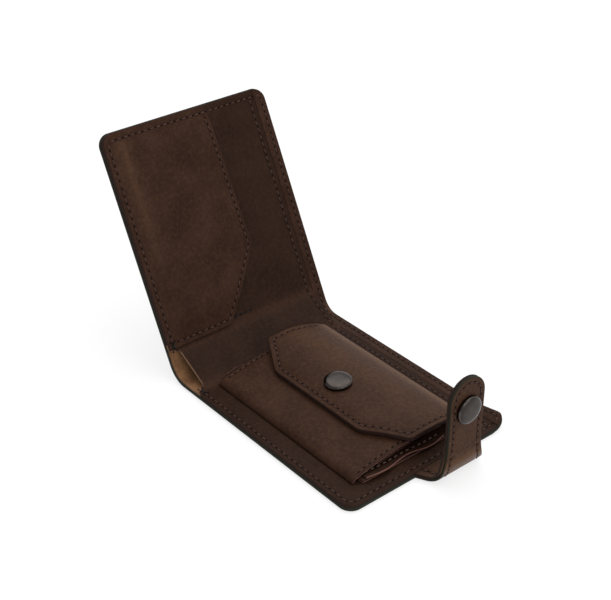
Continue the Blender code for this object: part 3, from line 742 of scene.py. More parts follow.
divider_thread = sew("divider_seams", divider_seams, divider_skin)
spine_tack = tack("divider_tack", SPAN_A - TACK_HALF, divider_skin)
SPAN_START = metres((FOLD + SPAN_RUN + SPAN_BLEND, 0, DIVIDER_MIDDLE))
SPAN_END = metres(wrap(FOLD - SPINE_RUN - SPAN_BACK_RUN - SPAN_BLEND, 0, DIVIDER_MIDDLE))
for piece in (divider, divider_thread, spine_tack):
    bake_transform(piece)
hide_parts("divider_flat", "divider_spine", "divider_back")

# Card panel: the outer wall of the card pocket, cut back in a slant so that a thumb can reach in.
# It is sewn down at its foot, its near side and its free end, and bulges a little between its seams.
CARD_LOW = 3.1
CARD_THICK = 1.2
CARD_FOOT = 7.0
CARD_END = BACK_LENGTH - LAYER_INSET
CARD_NEAR = LAYER_INSET - HALF
CARD_EDGE = 12.5
CARD_SLANT = 38.3
CARD_FOOT_EDGE = -10.2
CARD_TAPER = 2.0
CARD_BULGE = 0.9
MOUTH_STITCH_IN = 2.0


def card_skin(u, y, depth):
    room = ease((y - CARD_NEAR - 4) / 8) * ease((CARD_END - 4 - u) / 8) * ease((u - CARD_FOOT - 4) / 8)
    return wrap(FOLD - SPINE_RUN - u, y, CARD_LOW + CARD_THICK + CARD_BULGE * room - depth)


card_peak = Vector((CARD_SLANT, CARD_EDGE))
slant = (Vector((CARD_FOOT, CARD_FOOT_EDGE)) - card_peak).normalized()
off_slant = Vector((slant.y, -slant.x))
off_taper = (CARD_TAPER, CARD_END - CARD_SLANT)
card = cut_blank("card_panel", CARD_FOOT, CARD_END, CARD_NEAR, CARD_EDGE)
trim(card_peak, off_slant)
trim(card_peak, off_taper)
round_corner(CARD_END, CARD_NEAR, COVER_CORNER - LAYER_INSET, 12)
round_corner(CARD_SLANT, CARD_EDGE, 2.2)
round_corner(CARD_FOOT, CARD_FOOT_EDGE, 1.6)
score(*RIM_LINES)
for offset in beside(MOUTH_STITCH_IN):
    crease(card_peak - off_slant * offset, off_slant)
    crease((CARD_SLANT, CARD_EDGE - offset), off_taper)
card_foot_u = CARD_FOOT + STITCH_IN
card_top_u = CARD_END - TOP_STITCH_IN + LAYER_INSET
rule(beside(card_foot_u) + beside(card_top_u))
rule(spread(CARD_FOOT + 4, CARD_FOOT + 12, 1.2) + spread(CARD_FOOT + 12, CARD_END - 12, 9))
rule(spread(CARD_END - 12, CARD_END - 4, 1.2), beside(NEAR_STITCH))
rule([], spread(CARD_NEAR + 4, CARD_NEAR + 12, 1.2) + spread(CARD_NEAR + 12, CARD_EDGE, 8))
slant_in = card_peak - off_slant * MOUTH_STITCH_IN
slant_foot = slant_in + slant * ((card_foot_u - slant_in.x) / slant.x)
card_border = rounded([
    (card_foot_u, NEAR_STITCH, 0),
    (card_top_u, NEAR_STITCH, COVER_CORNER - STITCH_IN),
    (card_top_u, CARD_EDGE - 2.3, 0),
])
card_mouth = rounded([
    (card_foot_u, NEAR_STITCH + 3.0, 0),
    (*slant_foot, 1.0),
    (CARD_SLANT + 0.7, CARD_EDGE - MOUTH_STITCH_IN, 3.0),
    (CARD_END - TOP_STITCH_IN - 2.0, CARD_EDGE - 3.9, 0),
])
# Two paler bands run along the near side, the main one on the ridge where the panel rises over the cards'
# edge: painted highlight.
form_sheet(
    card, card_skin, CARD_THICK + LAYER_SINK,
    (PANEL_GRAIN, FLESH_SIDE, BROWN_EDGE), (card_border, card_mouth),
    lambda u, y: (0.5 * bump_curve(y, CARD_NEAR + 9.0, 2.6) + 0.3 * bump_curve(y, CARD_NEAR + 4.0, 3.2))
    * ease((u - CARD_FOOT) / 80) * ease((CARD_END - u) / 8),
)
card_thread = sew("card_panel_seams", [card_border, card_mouth], card_skin)
foot_tack = tack("card_panel_tack", CARD_FOOT + 1.3, card_skin)
tail_run = DIVIDER_RUN - (CARD_END - card_foot_u)
seam_tail = straight((tail_run, CARD_FOOT_EDGE + 3.4), (tail_run, CARD_FOOT_EDGE + 12.4))
tail_thread = sew("card_seam_tail", [seam_tail], divider_skin, TACK_DEPTH, 2.6, 2.2, TACK_FINISH)
for piece in (card, card_thread, tail_thread, foot_tack):
    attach(piece, "back_half")
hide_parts("card_pocket_panel")

# Coin pocket back: the flat panel that the coin pocket is built on, lying on the divider.
# It carries the gussets at both ends and the folded root of the flap along its far edge.
POCKET_LOW = 2.85
POCKET_FLOOR = 4.1
POCKET_LEFT = -44.0
POCKET_RIGHT = 45.0
POCKET_MOUTH = 15.0
POCKET_NEAR = -34.47
POCKET_FAR = 31.0
POCKET_BRIM = 2.4
BACK_NEAR = POCKET_NEAR + 4.0
RAW_BROWN = (0.122, 0.056, 0.045)
RAW_EDGE = dyed_edge("raw_brown_edge", RAW_BROWN)


def pocket_back_skin(x, y, depth):
    return (x, y, POCKET_FLOOR - depth + curl(x, y))


back_left = POCKET_LEFT - POCKET_BRIM
back_right = POCKET_RIGHT + POCKET_BRIM
pocket_back = cut_blank("coin_pocket_back", back_left, back_right, BACK_NEAR, POCKET_FAR)
round_corner(back_left, POCKET_FAR, 3.0)
round_corner(back_right, POCKET_FAR, 3.0)
score(0.1, 0.28, 0.5)
rule(spread(back_left, back_right, 5), spread(BACK_NEAR, POCKET_FAR, 4))
form_sheet(pocket_back, pocket_back_skin, POCKET_FLOOR - POCKET_LOW, (INNER_GRAIN, FLESH_SIDE, RAW_EDGE))
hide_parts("pocket_back")
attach(pocket_back, "wallet_base")

# Coin pocket front: a panel of the cover's leather in a low arch, its near edge rolled down to the back.
# Both ends are sewn through the gussets' upper legs, and the far edge is the open mouth.
ARCH_TOP = 10.4
ARCH_CREST_Y = 6.0
ARCH_RADIUS = 143.0
FRONT_THICK = 1.2
NOSE_RADIUS = 3.4
FRONT_FOOT = DIVIDER_TOP + 0.35
END_STITCH_IN = 1.6


def arch(y):
    return ARCH_TOP - (y - ARCH_CREST_Y) ** 2 / (2 * ARCH_RADIUS)


nose_tilt = math.atan((ARCH_CREST_Y - POCKET_NEAR - NOSE_RADIUS) / ARCH_RADIUS)
nose_y = POCKET_NEAR + NOSE_RADIUS * (1 - math.sin(nose_tilt))
nose_z = arch(nose_y) - NOSE_RADIUS * math.cos(nose_tilt)
nose_start = math.asin((FRONT_FOOT - nose_z) / NOSE_RADIUS)
front_points = [
    (POCKET_NEAR + NOSE_RADIUS * (1 - math.cos(a)), nose_z + NOSE_RADIUS * math.sin(a))
    for a in np.linspace(nose_start, math.pi / 2 - nose_tilt, 16)
]
front_points += [(y, arch(y)) for y in np.linspace(nose_y, POCKET_MOUTH, 40)[1:]]
FRONT_LINE = bend_line([(y, z, 0.01) for y, z in front_points])
FRONT_RUN = float(FRONT_LINE[0][-1])


def front_skin(x, run, depth):
    y, z = on_line(FRONT_LINE, run, -depth)
    dip = 0.45 * ease((run - 20) / 20) * (bump_curve(x, 18, 9) + 0.6 * bump_curve(x, -22, 10))
    return (x, y, max(z - dip, FRONT_FOOT))


front = cut_blank("coin_pocket_front", POCKET_LEFT, POCKET_RIGHT, 0, FRONT_RUN)
score(*RIM_LINES)
end_seams = (POCKET_LEFT + END_STITCH_IN, POCKET_RIGHT - END_STITCH_IN)
rule(beside(end_seams[0]) + beside(end_seams[1]) + spread(POCKET_LEFT + 4, POCKET_RIGHT - 4, 4))
rule([], spread(0, 5, 0.4) + [5, 6, 8] + spread(8, FRONT_RUN, 3))
front_seams = [straight((x, 6.0), (x, FRONT_RUN - 1.0)) for x in end_seams]
# The front is set paler everywhere but its rolled-under nose, which is left darker as painted shade under the
# roll.
form_sheet(
    front, front_skin, FRONT_THICK, (PANEL_GRAIN, FLESH_SIDE, RAW_EDGE), front_seams,
    lambda x, run: 0.26 * ease((run - 2.0) / 4),
)
front_thread = sew("coin_pocket_end_seams", front_seams, front_skin, pitch=SHORT_PITCH)
for piece in (front, front_thread):
    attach(piece, "pocket_mouth")
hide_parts("pocket_front")

# Gussets: a soft strip folded inwards at each end of the coin pocket, so that its mouth can open.
# The lower leg is sewn to the pocket's back and the upper leg to its front; the wavy brims show a raw edge.
GUSSET_DEPTH = 6.7
GUSSET_THICK = 0.6
GUSSET_LEG = 6.0
GUSSET_BEND = 2.4
GUSSET_NEAR = -28.5
GUSSET_UPPER_NEAR = -20.0
GUSSET_LOW = POCKET_FLOOR + 0.1
GUSSET_SEAM = 2.4
GUSSET_BLEND = (5.2, 7.4)
PALE = (0.125, 0.082, 0.063)
PALE_THREAD = waxed_thread("waxed_pale_thread", PALE)


def gusset_piece(name, brim, hand, node):
    """One folded gusset, drawn flat as (way round the fold, y), with its seam on the lower leg."""
    around = 2 * GUSSET_LEG + GUSSET_BEND

    def skin(way, y, depth):
        low = GUSSET_LOW + GUSSET_THICK / 2
        high = max(arch(y) - FRONT_THICK - 0.15 - GUSSET_THICK / 2, low + 0.1)
        bend = (high - low) / 2
        turn = math.pi * min(max((way - GUSSET_LEG) / GUSSET_BEND, 0.0), 1.0)
        leg = min(way, around - way, GUSSET_LEG) / GUSSET_LEG
        brim_out = POCKET_BRIM * (1 - leg) if way < GUSSET_LEG else 0.0
        off = GUSSET_THICK / 2 - depth
        inward = leg * (GUSSET_DEPTH - bend) + (bend - off) * math.sin(turn) - brim_out
        height = low + bend - (bend - off) * math.cos(turn)
        loose = 1 - ease(way / 3.5)
        inward -= loose * (0.3 + 0.9 * math.cos(0.242 * (y + 20)))
        height += 0.25 * loose * (1 + math.sin(0.31 * y + 2.2))
        return (brim - hand * inward, y, height)

    gusset = cut_blank(name, 0, around, GUSSET_NEAR, POCKET_MOUTH)
    trim((GUSSET_LEG, GUSSET_NEAR), (GUSSET_UPPER_NEAR - GUSSET_NEAR, GUSSET_LEG - around))
    score(0.1, 0.25)
    rule([0.7, 1.4] + beside(GUSSET_SEAM) + [4.0, 5.0] + spread(GUSSET_LEG, GUSSET_LEG + GUSSET_BEND, 0.3))
    rule([], spread(GUSSET_NEAR, POCKET_MOUTH, 1.2))
    seam = straight((GUSSET_SEAM, GUSSET_NEAR + 1.0), (GUSSET_SEAM, POCKET_MOUTH - 1.0))
    form_sheet(
        gusset, skin, GUSSET_THICK, (INNER_GRAIN, INNER_GRAIN, RAW_EDGE, RAW_EDGE), [seam],
        undyed=lambda way, y: way < 0.5,
    )
    thread = sew(f"{name}_seam", [seam], skin, pitch=SHORT_PITCH, finish=PALE_THREAD)
    foot, top = [metres((brim, 0, height)) for height in GUSSET_BLEND]
    for piece in (gusset, thread):
        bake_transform(piece)
        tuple(foot)
        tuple(top)
    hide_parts(node)


gusset_piece("gusset_spine_end", POCKET_LEFT - 0.1, -1, "gusset_spine_side")
gusset_piece("gusset_strap_end", POCKET_RIGHT + 0.1, 1, "gusset_strap_side")

# Flap lining: thin leather glued and sewn under the flap, a hair smaller all round.
# It stops short of the fold, so that the flap bends easily there.
FLAP_CENTRE = 0.1
FLAP_LENGTH = 94.0
FLAP_SIDE = FLAP_LENGTH / 2
FLAP_TIP = 27.6
FLAP_FRONT = -15.5
FLAP_SHOULDER = -4.3
FLAP_REAR = 26.5
LINING_THICK = 0.7
FLAP_THICK = 1.1
FLAP_OVER = 1.0
LINING_SHORT = 5.0
CORNER_SET = 1.3
SNAP_RISE = 1.3


def flap_under(x, y):
    """Height of the flap's underside: lifted over the snap and at its spine corner, falling to the fold."""
    across = (x - FLAP_CENTRE) / FLAP_SIDE
    rise = ease((y - FLAP_FRONT) / 9) * ease((FLAP_REAR - y) / 16)
    past = max(0.0, y - POCKET_MOUTH + 1.0)
    lifted = CORNER_SET * ease((FLAP_CENTRE - x - 26) / 18) * ease((20 - y) / 14)
    return arch(y) + 0.4 + SNAP_RISE * (1 - across * across) * rise + lifted - past * past / 91.0


def cut_flap(name, inset, rear):
    """A flap blank with its two front corners cut off and rounded."""
    side = FLAP_SIDE - inset
    tip = FLAP_TIP - inset / 2
    low = FLAP_FRONT + inset
    shoulder = FLAP_SHOULDER + inset / 2
    blank = cut_blank(name, FLAP_CENTRE - side, FLAP_CENTRE + side, low, rear)
    for hand in (-1, 1):
        trim((FLAP_CENTRE + hand * tip, low), (hand * (shoulder - low), tip - side))
    for hand in (-1, 1):
        round_corner(FLAP_CENTRE + hand * side, shoulder, 1.6)
        round_corner(FLAP_CENTRE + hand * tip, low, 2.2)
    return blank


def lining_skin(x, y, depth):
    return (x, y, flap_under(x, y) + depth)


lining = cut_flap("flap_lining_skin", LAYER_INSET, FLAP_REAR - LINING_SHORT)
score(0.08, 0.2, 0.4)
rule(spread(FLAP_CENTRE - 46, FLAP_CENTRE + 46, 3.0), spread(FLAP_FRONT, FLAP_REAR - LINING_SHORT, 2.0))
form_sheet(lining, lining_skin, LINING_THICK + LAYER_SINK, (INNER_GRAIN, FLESH_SIDE, BROWN_EDGE))
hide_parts("flap_lining")
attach(lining, "coin_flap")

# Coin flap: the outer leather, which closes over the pocket and turns down behind it in a soft round fold.
# It is sewn to its lining round its three free sides, and its far end stands on the pocket's back panel.
CREST_Y = FLAP_REAR + 0.3
FOLD_RADIUS = 4.0
FLAP_SIDE_END = 20.0
FLAP_TAPER = 3.6
FLAP_SEAM_END = 22.0
FLAP_PITCH = 3.3
FLAP_BLEND_START = (0, 30.3, 4.6)
FLAP_BLEND_END = (0, 25.4, 9.4)
crest_z = flap_under(FLAP_CENTRE, CREST_Y) + FLAP_OVER + FLAP_THICK / 2
lean = math.atan((flap_under(FLAP_CENTRE, CREST_Y - 0.3) - flap_under(FLAP_CENTRE, CREST_Y)) / 0.3)
HUB_Y = CREST_Y - FOLD_RADIUS * math.sin(lean)
HUB_Z = crest_z - FOLD_RADIUS * math.cos(lean)
BEND_RUN = FOLD_RADIUS * (math.pi / 2 - lean)
FLAP_END = CREST_Y + BEND_RUN + HUB_Z - POCKET_FLOOR - 0.1


def flap_skin(x, y, depth):
    up = FLAP_THICK / 2 - depth
    if y <= CREST_Y:
        slope = (flap_under(x, y + 0.05) - flap_under(x, y - 0.05)) / 0.1
        share = 1 / math.sqrt(1 + slope * slope)
        middle = flap_under(x, y) + FLAP_OVER + FLAP_THICK / 2
        return (x, y - slope * share * up, middle + share * up)
    turn = min(lean + (y - CREST_Y) / FOLD_RADIUS, math.pi / 2)
    down = max(0.0, y - CREST_Y - BEND_RUN)
    radius = FOLD_RADIUS + up
    return (x, HUB_Y + radius * math.sin(turn), HUB_Z + radius * math.cos(turn) - down)


flap = cut_flap("coin_flap_leather", 0.0, FLAP_END)
for hand in (-1, 1):
    trim((FLAP_CENTRE + hand * FLAP_SIDE, FLAP_SIDE_END), (hand * (FLAP_END - FLAP_SIDE_END), FLAP_TAPER))
    round_corner(FLAP_CENTRE + hand * FLAP_SIDE, FLAP_SIDE_END, 5.0)
score(*RIM_LINES)
for hand in (-1, 1):
    way = Vector((hand * (FLAP_SHOULDER - FLAP_FRONT), FLAP_TIP - FLAP_SIDE)).normalized()
    for offset in beside(STITCH_IN):
        crease(Vector((FLAP_CENTRE + hand * FLAP_TIP, FLAP_FRONT)) - way * offset, way)
    rule([FLAP_CENTRE + hand * (FLAP_SIDE - offset) for offset in beside(STITCH_IN)])
rule(spread(FLAP_CENTRE - 44, FLAP_CENTRE + 44, 2.6), beside(FLAP_FRONT + STITCH_IN))
rule([], spread(FLAP_FRONT + 4, CREST_Y - 3, 1.6) + spread(CREST_Y - 3, FLAP_END, 0.6))
chamfer = Vector((FLAP_SIDE - FLAP_TIP, FLAP_SHOULDER - FLAP_FRONT)).normalized()
lap = STITCH_IN * math.tan(math.acos(chamfer.x) / 2)
half_seam = [
    (FLAP_SIDE - STITCH_IN, FLAP_SEAM_END, 0),
    (FLAP_SIDE - STITCH_IN, FLAP_SHOULDER + 1.6, 2.0),
    (FLAP_TIP - lap, FLAP_FRONT + STITCH_IN, 3.0),
]
flap_seam = rounded(
    [(FLAP_CENTRE - out, y, turn) for out, y, turn in half_seam]
    + [(FLAP_CENTRE + out, y, turn) for out, y, turn in reversed(half_seam)]
)
# The flap's grain is set paler all over, a little more over its top, and most along the crest of its fold:
# pulled-up oil at the fold, with painted sheen on the crest.
form_sheet(
    flap, flap_skin, FLAP_THICK, (PANEL_GRAIN, FLESH_SIDE, BROWN_EDGE), [flap_seam],
    lambda x, y: 0.25 + 0.7 * bump_curve(y, CREST_Y + 1.0, 4.0) + 0.2 * bump_curve(y, 12.0, 9.0),
)
flap_thread = sew("coin_flap_seam", [flap_seam], flap_skin, pitch=FLAP_PITCH)
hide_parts("flap_leather", "flap_fold")
metres(FLAP_BLEND_START)
metres(FLAP_BLEND_END)
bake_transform(flap)
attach(flap_thread, "coin_flap")

# Strap: two layers sewn together along both sides and round the tip, flaring out into the cover's edge.
# It bends up from the flat half, stands, and folds over the closed wallet, so it is made in three lengths.
STRAP_CENTRE = 7.0
STRAP_HALF = 9.5
STRAP_FLARE = 7.2
FLARE_RUN = 26.0
STRAP_TOP = 47.5
BEND_X = 59.7
BEND_Z = 6.6
FOOT_RUN = 2.3
FOOT_LAP = 0.2
RISER_SEAM = 12.0
STRAP_STITCH_IN = 2.4
STRAP_LENGTHS = (
    ("foot", "wallet_base", "strap_root", (55.5, 0, 1.0), (57.9, 0, 1.0)),
    ("bend", "strap_root", "strap_riser", (58.1, 0, 0.9), (65.5, 0, 9.2)),
    ("tip", "strap_riser", "strap_tip", (64.5, 0, 15.0), (64.5, 0, 25.0)),
)
OUTER_RADIUS = 6.4
INNER_RADIUS = 4.0
OUTER_THICK = 1.3
INNER_THICK = 1.05


def strap_half(past_edge):
    return STRAP_HALF + STRAP_FLARE * max(0.0, 1 - past_edge / FLARE_RUN) ** 2


def strap_layer(kind, radius, thick, grain_out, finishes):
    """One layer of the strap in three lengths, with its stitches; radius is its grain side's in the bend."""
    level = BEND_Z - radius
    face = BEND_X + radius
    line = bend_line([(EDGE - FOOT_LAP, level, 0), (face, level, radius), (face, STRAP_TOP, 0)])
    bend_end = BEND_X - EDGE + FOOT_LAP + radius * math.pi / 2
    cuts = [0.0, FOOT_RUN + FOOT_LAP, bend_end + RISER_SEAM - BEND_Z, bend_end + STRAP_TOP - BEND_Z]

    def skin(run, v, depth):
        x, z = on_line(line, run, depth if grain_out else -depth)
        return (x, STRAP_CENTRE + v * strap_half(run - FOOT_LAP) / STRAP_HALF, z)

    seam_v = STRAP_HALF - STRAP_STITCH_IN
    seam_scores = (1.5, 1.9, STRAP_STITCH_IN, 2.9, 3.3)
    made = []
    for k, (part, first, second, start, end) in enumerate(STRAP_LENGTHS):
        low, high = cuts[k], cuts[k + 1]
        blank = cut_blank(f"strap_{part}_{kind}", low, high, -STRAP_HALF, STRAP_HALF)
        if part == "tip":
            round_corner(high, -STRAP_HALF, STRAP_HALF - 0.01, 14)
            round_corner(high, STRAP_HALF, STRAP_HALF - 0.01, 14)
            bpy.ops.mesh.select_all(action="SELECT")
            bpy.ops.mesh.remove_doubles(threshold=0.05)
            score(0.1, 0.26, 0.5, *seam_scores)
            rule(spread(low, high - STRAP_HALF, 1.5), [-4, 0, 4])
            seams = [rounded([
                (low + 0.4, -seam_v, 0),
                (high - STRAP_STITCH_IN, -seam_v, seam_v - 0.02),
                (high - STRAP_STITCH_IN, seam_v, seam_v - 0.02),
                (low + 0.4, seam_v, 0),
            ])]
        else:
            score(0.1, 0.26, 0.5)
            rule(spread(low, high, 0.6), [hand * (STRAP_HALF - d) for hand in (-1, 1) for d in seam_scores])
            rule([], [-4, 0, 4])
            seams = [straight((low + 0.4, v), (high - 0.4, v)) for v in (-seam_v, seam_v)]
        # Both layers are set paler all over and much paler under the bend: pulled-up oil there, with a
        # painted highlight where the bend faces the table.
        form_sheet(
            blank, skin, thick, finishes, seams,
            lambda run, v: 0.36 + 1.5 * bump_curve(run, bend_end - 2.0, 4.2),
            lambda u, v, low=low, high=high, k=k: (abs(u - low) < 0.01) or (k < 2 and abs(u - high) < 0.01),
        )
        thread = sew(f"strap_{part}_{kind}_seam", seams, skin, pitch=SHORT_PITCH)
        for piece in (thread, blank):
            metres(start)
            metres(end)
            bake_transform(piece)
        made.append(blank)
    return made


outer_finishes = (COVER_GRAIN, FLESH_SIDE, DARK_EDGE)
inner_finishes = (INNER_GRAIN, FLESH_SIDE, DARK_EDGE)
outer_strap = strap_layer("leather", OUTER_RADIUS, OUTER_THICK, True, outer_finishes)
inner_strap = strap_layer("lining", INNER_RADIUS, INNER_THICK, False, inner_finishes)
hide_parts("strap_stub")
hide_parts("strap_bend", "strap_riser")
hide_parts("strap_tip")
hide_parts("strap_stub_lining")
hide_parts("strap_bend_lining", "strap_riser_lining")
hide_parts("strap_tip_lining")
for master in (one_stitch, one_hole_shade):
    bpy.data.objects.remove(master)

# Snap caps: pressed brass domes with a gunmetal finish, their rims rolled tight on to the leather.
# One sits on the flap and one on the strap's tip, each over the socket on the other side of the leather.
CAP_RADIUS = 6.25
CAP_DOME = 2.35
CAP_RIM = 0.55
CAP_FLAT = 0.48
CAP_ROLL = 0.22
FLAP_CAP_RISE = 3.85
STRAP_CAP_RISE = 2.45
FLAP_SNAP_Y = -2.5
STRAP_SNAP_HEIGHT = 33.0
GUNMETAL = (0.0366, 0.0308, 0.0285)
GUNMETAL_WORN = (0.064, 0.057, 0.053)


def metal(name, colour, rough, worn_colour):
    """Plated metal: a fine brushed haze, a few rubbed spots."""
    plate = Finish(name)
    place = plate.node("ShaderNodeTexCoord", {}, {}, "Object")
    edge = plate.attribute("rubbed")
    haze = plate.noise(place, 900.0, 4.0, 0.6)
    rub = plate.noise(place, 240.0, 3.0, 0.5)
    tone = plate.mix(rub.ramp(0.45, 0.75) * 0.5, colour, worn_colour)
    plate.feed(plate.surface, {
        "Base Color": plate.mix(edge * (0.05 + 0.3 * rub), tone, tuple(3 * c for c in worn_colour)),
        "Metallic": 1.0,
        "Roughness": rough + 0.10 * haze + 0.06 * rub,
        "Normal": plate.bump(haze, 0.000012),
    })
    return plate.material


CAP_FINISH = metal("gunmetal_plate", GUNMETAL, 0.12, GUNMETAL_WORN)


def snap_cap(name, seat):
    """A domed cap raised from a disc by insets, with a rolled rim."""
    bpy.ops.object.select_all(action="DESELECT")
    middle = (0, 0, CAP_RIM / 2)
    bpy.ops.mesh.primitive_cylinder_add(vertices=64, radius=CAP_RADIUS, depth=CAP_RIM, location=middle)
    cap = bpy.context.object
    cap.name = name
    bpy.ops.object.transform_apply(location=True, rotation=False, scale=False)
    bpy.ops.object.mode_set(mode="EDIT")
    pick("FACE", lambda face: face.normal.z > 0.9)
    steps = [math.radians(a) for a in (0, 1, 3, 7, 12, 18, 25, 33, 42, 52, 62, 72, 80, 85)]
    outs = [CAP_RADIUS * math.cos(a) ** CAP_FLAT for a in steps]
    ups = [(CAP_DOME - CAP_RIM) * math.sin(a) ** CAP_FLAT for a in steps]
    for inward, rise in zip(-np.diff(outs), np.diff(ups)):
        bpy.ops.mesh.inset(thickness=inward, depth=0)
        bpy.ops.transform.translate(value=(0, 0, rise))
    bpy.ops.mesh.poke()
    pick("EDGE", lambda edge: all(v.co.z < 0.001 for v in edge.verts))
    bpy.ops.mesh.bevel(offset=CAP_ROLL, segments=3, affect="EDGES")
    bpy.ops.object.mode_set(mode="OBJECT")
    outs = [v.co.xy.length / CAP_RADIUS for v in cap.data.vertices]
    mark(cap.data, "rubbed", [ease((out - 0.92) / 0.06) for out in outs])
    cap.data.transform(Matrix.Scale(0.001, 4) @ seat)
    cap.data.materials.append(CAP_FINISH)
    bpy.ops.object.shade_smooth_by_angle(angle=math.radians(40))
    return cap


snap_tilt = math.atan((ARCH_CREST_Y - FLAP_SNAP_Y) / ARCH_RADIUS)
flap_seat = Matrix.Translation((FLAP_CENTRE, FLAP_SNAP_Y, arch(FLAP_SNAP_Y)))
FLAP_SNAP = flap_seat @ Matrix.Rotation(snap_tilt, 4, "X")
facing_out = Matrix(((0, 0, 1, 0), (1, 0, 0, 0), (0, 1, 0, 0), (0, 0, 0, 1)))
STRAP_SNAP = Matrix.Translation((BEND_X + INNER_RADIUS, STRAP_CENTRE, STRAP_SNAP_HEIGHT)) @ facing_out
flap_cap = snap_cap("flap_snap_dome", FLAP_SNAP @ Matrix.Translation((0, 0, FLAP_CAP_RISE)))
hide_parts("flap_snap_cap")
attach(flap_cap, "coin_flap")
strap_cap = snap_cap("strap_snap_dome", STRAP_SNAP @ Matrix.Translation((0, 0, STRAP_CAP_RISE)))
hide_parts("strap_snap_cap")
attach(strap_cap, "strap_tip")

# Snap sockets and studs: turned and nickel-plated, riveted through the leather behind each cap and stud.
# The socket is a ring with a lip that goes round the head of the stud when the snap is closed.
REAR_STUD_RUN = 98.9
NICKEL = (0.46, 0.45, 0.42)
NICKEL_WORN = (0.56, 0.55, 0.52)
NICKEL_FINISH = metal("nickel_plate", NICKEL, 0.26, NICKEL_WORN)


def turned(name, profile, seat):
    """A turned ring or stud, spun from its profile of (radius, height)."""
    bpy.ops.object.select_all(action="DESELECT")
    bpy.ops.mesh.primitive_circle_add(vertices=len(profile), radius=1)
    piece = bpy.context.object
    piece.name = name
    for vertex, (radius, height) in zip(piece.data.vertices, profile):
        vertex.co = (radius, 0, height)
    bpy.ops.object.mode_set(mode="EDIT")
    bpy.ops.mesh.select_all(action="SELECT")
    bpy.ops.mesh.spin(steps=40, angle=2 * math.pi, center=(0, 0, 0), axis=(0, 0, 1))
    bpy.ops.mesh.select_all(action="SELECT")
    bpy.ops.mesh.remove_doubles(threshold=0.001)
    bpy.ops.mesh.dissolve_degenerate(threshold=0.0005)
    bpy.ops.mesh.select_all(action="SELECT")
    bpy.ops.mesh.normals_make_consistent(inside=False)
    bpy.ops.object.mode_set(mode="OBJECT")
    piece.data.transform(Matrix.Scale(0.001, 4) @ seat)
    piece.data.materials.append(NICKEL_FINISH)
    bpy.ops.object.shade_smooth_by_angle(angle=math.radians(35))
    return piece


def socket_ring(low, high):
    lip = low + (high - low) * 0.3
    inner = [(2.6, lip), (2.85, low + 0.06), (3.1, low), (3.5, low), (3.75, lip)]
    outer = [(4.3, lip + 0.1), (4.75, lip + 0.25), (4.8, high - 0.1), (4.65, high)]
    return inner + outer + [(2.7, high), (2.6, high - 0.1)]


def stud_post(base, top, tail):
    head = [(0.0, top), (1.1, top), (1.6, top - 0.08), (1.92, top - 0.3), (2.0, top - 0.5)]
    waist = [(1.82, base + 0.6), (1.95, base + 0.42)]
    foot = [(4.1, base + 0.4), (4.35, base + 0.25), (4.4, base), (1.2, base), (1.2, tail), (0.0, tail)]
    return head + waist + foot


rear_seat, rear_out = [wrap(FOLD - SPINE_RUN - REAR_STUD_RUN, STRAP_CENTRE, inside) for inside in (0, -1)]
outward = Vector([b - a for a, b in zip(rear_seat, rear_out)])
facing_back = Vector((0, 0, 1)).rotation_difference(outward).to_matrix().to_4x4()
REAR_SNAP = Matrix.Translation(rear_seat) @ facing_back
for name, profile, seat, slot, node, body in (
    ("flap_snap_ring", socket_ring(0.6, 1.4), FLAP_SNAP, "snap_caps", "flap_snap_socket", "coin_flap"),
    ("strap_snap_ring", socket_ring(-1.7, -0.12), STRAP_SNAP, "snap_caps", "strap_snap_socket", "strap_tip"),
    ("flap_snap_post", stud_post(0.1, 1.5, -2.0), FLAP_SNAP, "snap_inner", "flap_snap_stud", "pocket_mouth"),
    ("strap_snap_post", stud_post(0.1, 2.2, -1.4), REAR_SNAP, "snap_inner", "strap_snap_stud", "back_half"),
):
    piece = turned(name, profile, seat)
    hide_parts(node)
    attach(piece, body)
for washer in ("flap_snap_rivet", "strap_stud_rivet"):
    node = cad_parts[washer]
    node.data.materials.clear()
    node.data.materials.append(NICKEL_FINISH)

# Table: a plain pale sheet under the wallet, shown to the camera a little brighter than its paper is.
# Three lamps light it, in a white room that is a little brighter from the far side.
WHITE = (1, 1, 1, 1)
PAPER = (0.86, 0.86, 0.86, 1.0)
PAPER_SHOWN = 0.72
PAPER_MIRRORED = 0.25
ROOM_LEVEL = 0.80
ROOM_FAR = 0.40
bpy.ops.object.select_all(action="DESELECT")
bpy.ops.mesh.primitive_plane_add(size=6, location=(0, 0, -0.0004))
table = bpy.context.object
table.name = "table"
paper = Finish("pale_table")
paper.feed(paper.surface, {"Base Color": PAPER, "Roughness": 0.9, "Specular IOR Level": 0.1})
shown = paper.node("ShaderNodeLightPath", {}, {}, "Is Camera Ray")
mirrored = paper.node("ShaderNodeLightPath", {}, {}, "Is Glossy Ray")
glow = paper.node("ShaderNodeEmission", {}, {"Color": WHITE, "Strength": 1.0}, "Emission")
share = PAPER_SHOWN * shown + PAPER_MIRRORED * mirrored
matt = Sock(paper, paper.surface.outputs[0])
lifted = paper.node("ShaderNodeMixShader", {}, {0: share, 1: matt, 2: glow})
paper.feed(paper.tree.nodes["Material Output"], {"Surface": lifted})
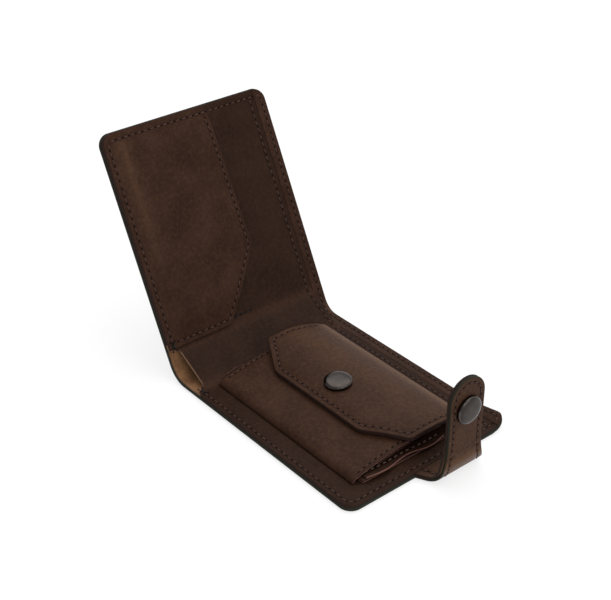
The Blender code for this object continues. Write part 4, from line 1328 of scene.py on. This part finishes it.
table.data.materials.append(paper.material)

scene = bpy.context.scene
scene.view_settings.view_transform = "Standard"
room = bpy.data.worlds.new("white_room")
room.use_nodes = True
scene.world = room
sky = Nodes(room.node_tree)
around = sky.node("ShaderNodeTexCoord", {}, {}, "Generated")
far = sky.node("ShaderNodeSeparateXYZ", {}, {0: around}, "Y")
background = sky.tree.nodes["Background"]
sky.feed(background, {"Color": WHITE, "Strength": ROOM_LEVEL + ROOM_FAR * far})
seen = sky.node("ShaderNodeLightPath", {}, {}, "Is Camera Ray")
through = sky.node("ShaderNodeLightPath", {}, {}, "Is Transmission Ray")
either = seen.work("MAXIMUM", seen, through)
plain = sky.node("ShaderNodeBackground", {}, {"Color": WHITE, "Strength": 1.0})
lit = Sock(sky, background.outputs[0])
both = sky.node("ShaderNodeMixShader", {}, {0: either, 1: lit, 2: plain})
sky.feed(sky.tree.nodes["World Output"], {"Surface": both})


def lamp(name, place, target, size, watts):
    bpy.ops.object.light_add(type="AREA", location=place)
    light = bpy.context.object
    light.name = name
    light.data.shape = "SQUARE"
    light.data.size = size
    light.data.energy = watts
    light.rotation_euler = (Vector(target) - Vector(place)).to_track_quat("-Z", "Y").to_euler()


lamp("key_lamp", (-0.24, 0.30, 0.92), (0, 0, 0), 1.0, 6.9)
lamp("fill_lamp", (0.78, 0.04, 0.40), (0, 0, 0.02), 0.6, 2.0)
lamp("glint_lamp", (0.45, -0.40, 0.68), (0, 0, 0.02), 0.05, 0.85)

# Camera: stands at the strap corner, looking down over the open wallet.
# Its place, its aim and its lens are those of the photograph, in metres and millimetres.
CAMERA_PLACE = (0.3404, -0.3038, 0.3356)
CAMERA_AIM = (-0.0784, 0.04434, 0.0)
CAMERA_LENS = 76.14
bpy.ops.object.camera_add(location=CAMERA_PLACE)
camera = bpy.context.object
camera.rotation_euler = (Vector(CAMERA_AIM) - camera.location).to_track_quat("-Z", "Y").to_euler()
camera.data.sensor_width = 36.0
camera.data.lens = CAMERA_LENS
scene.camera = camera
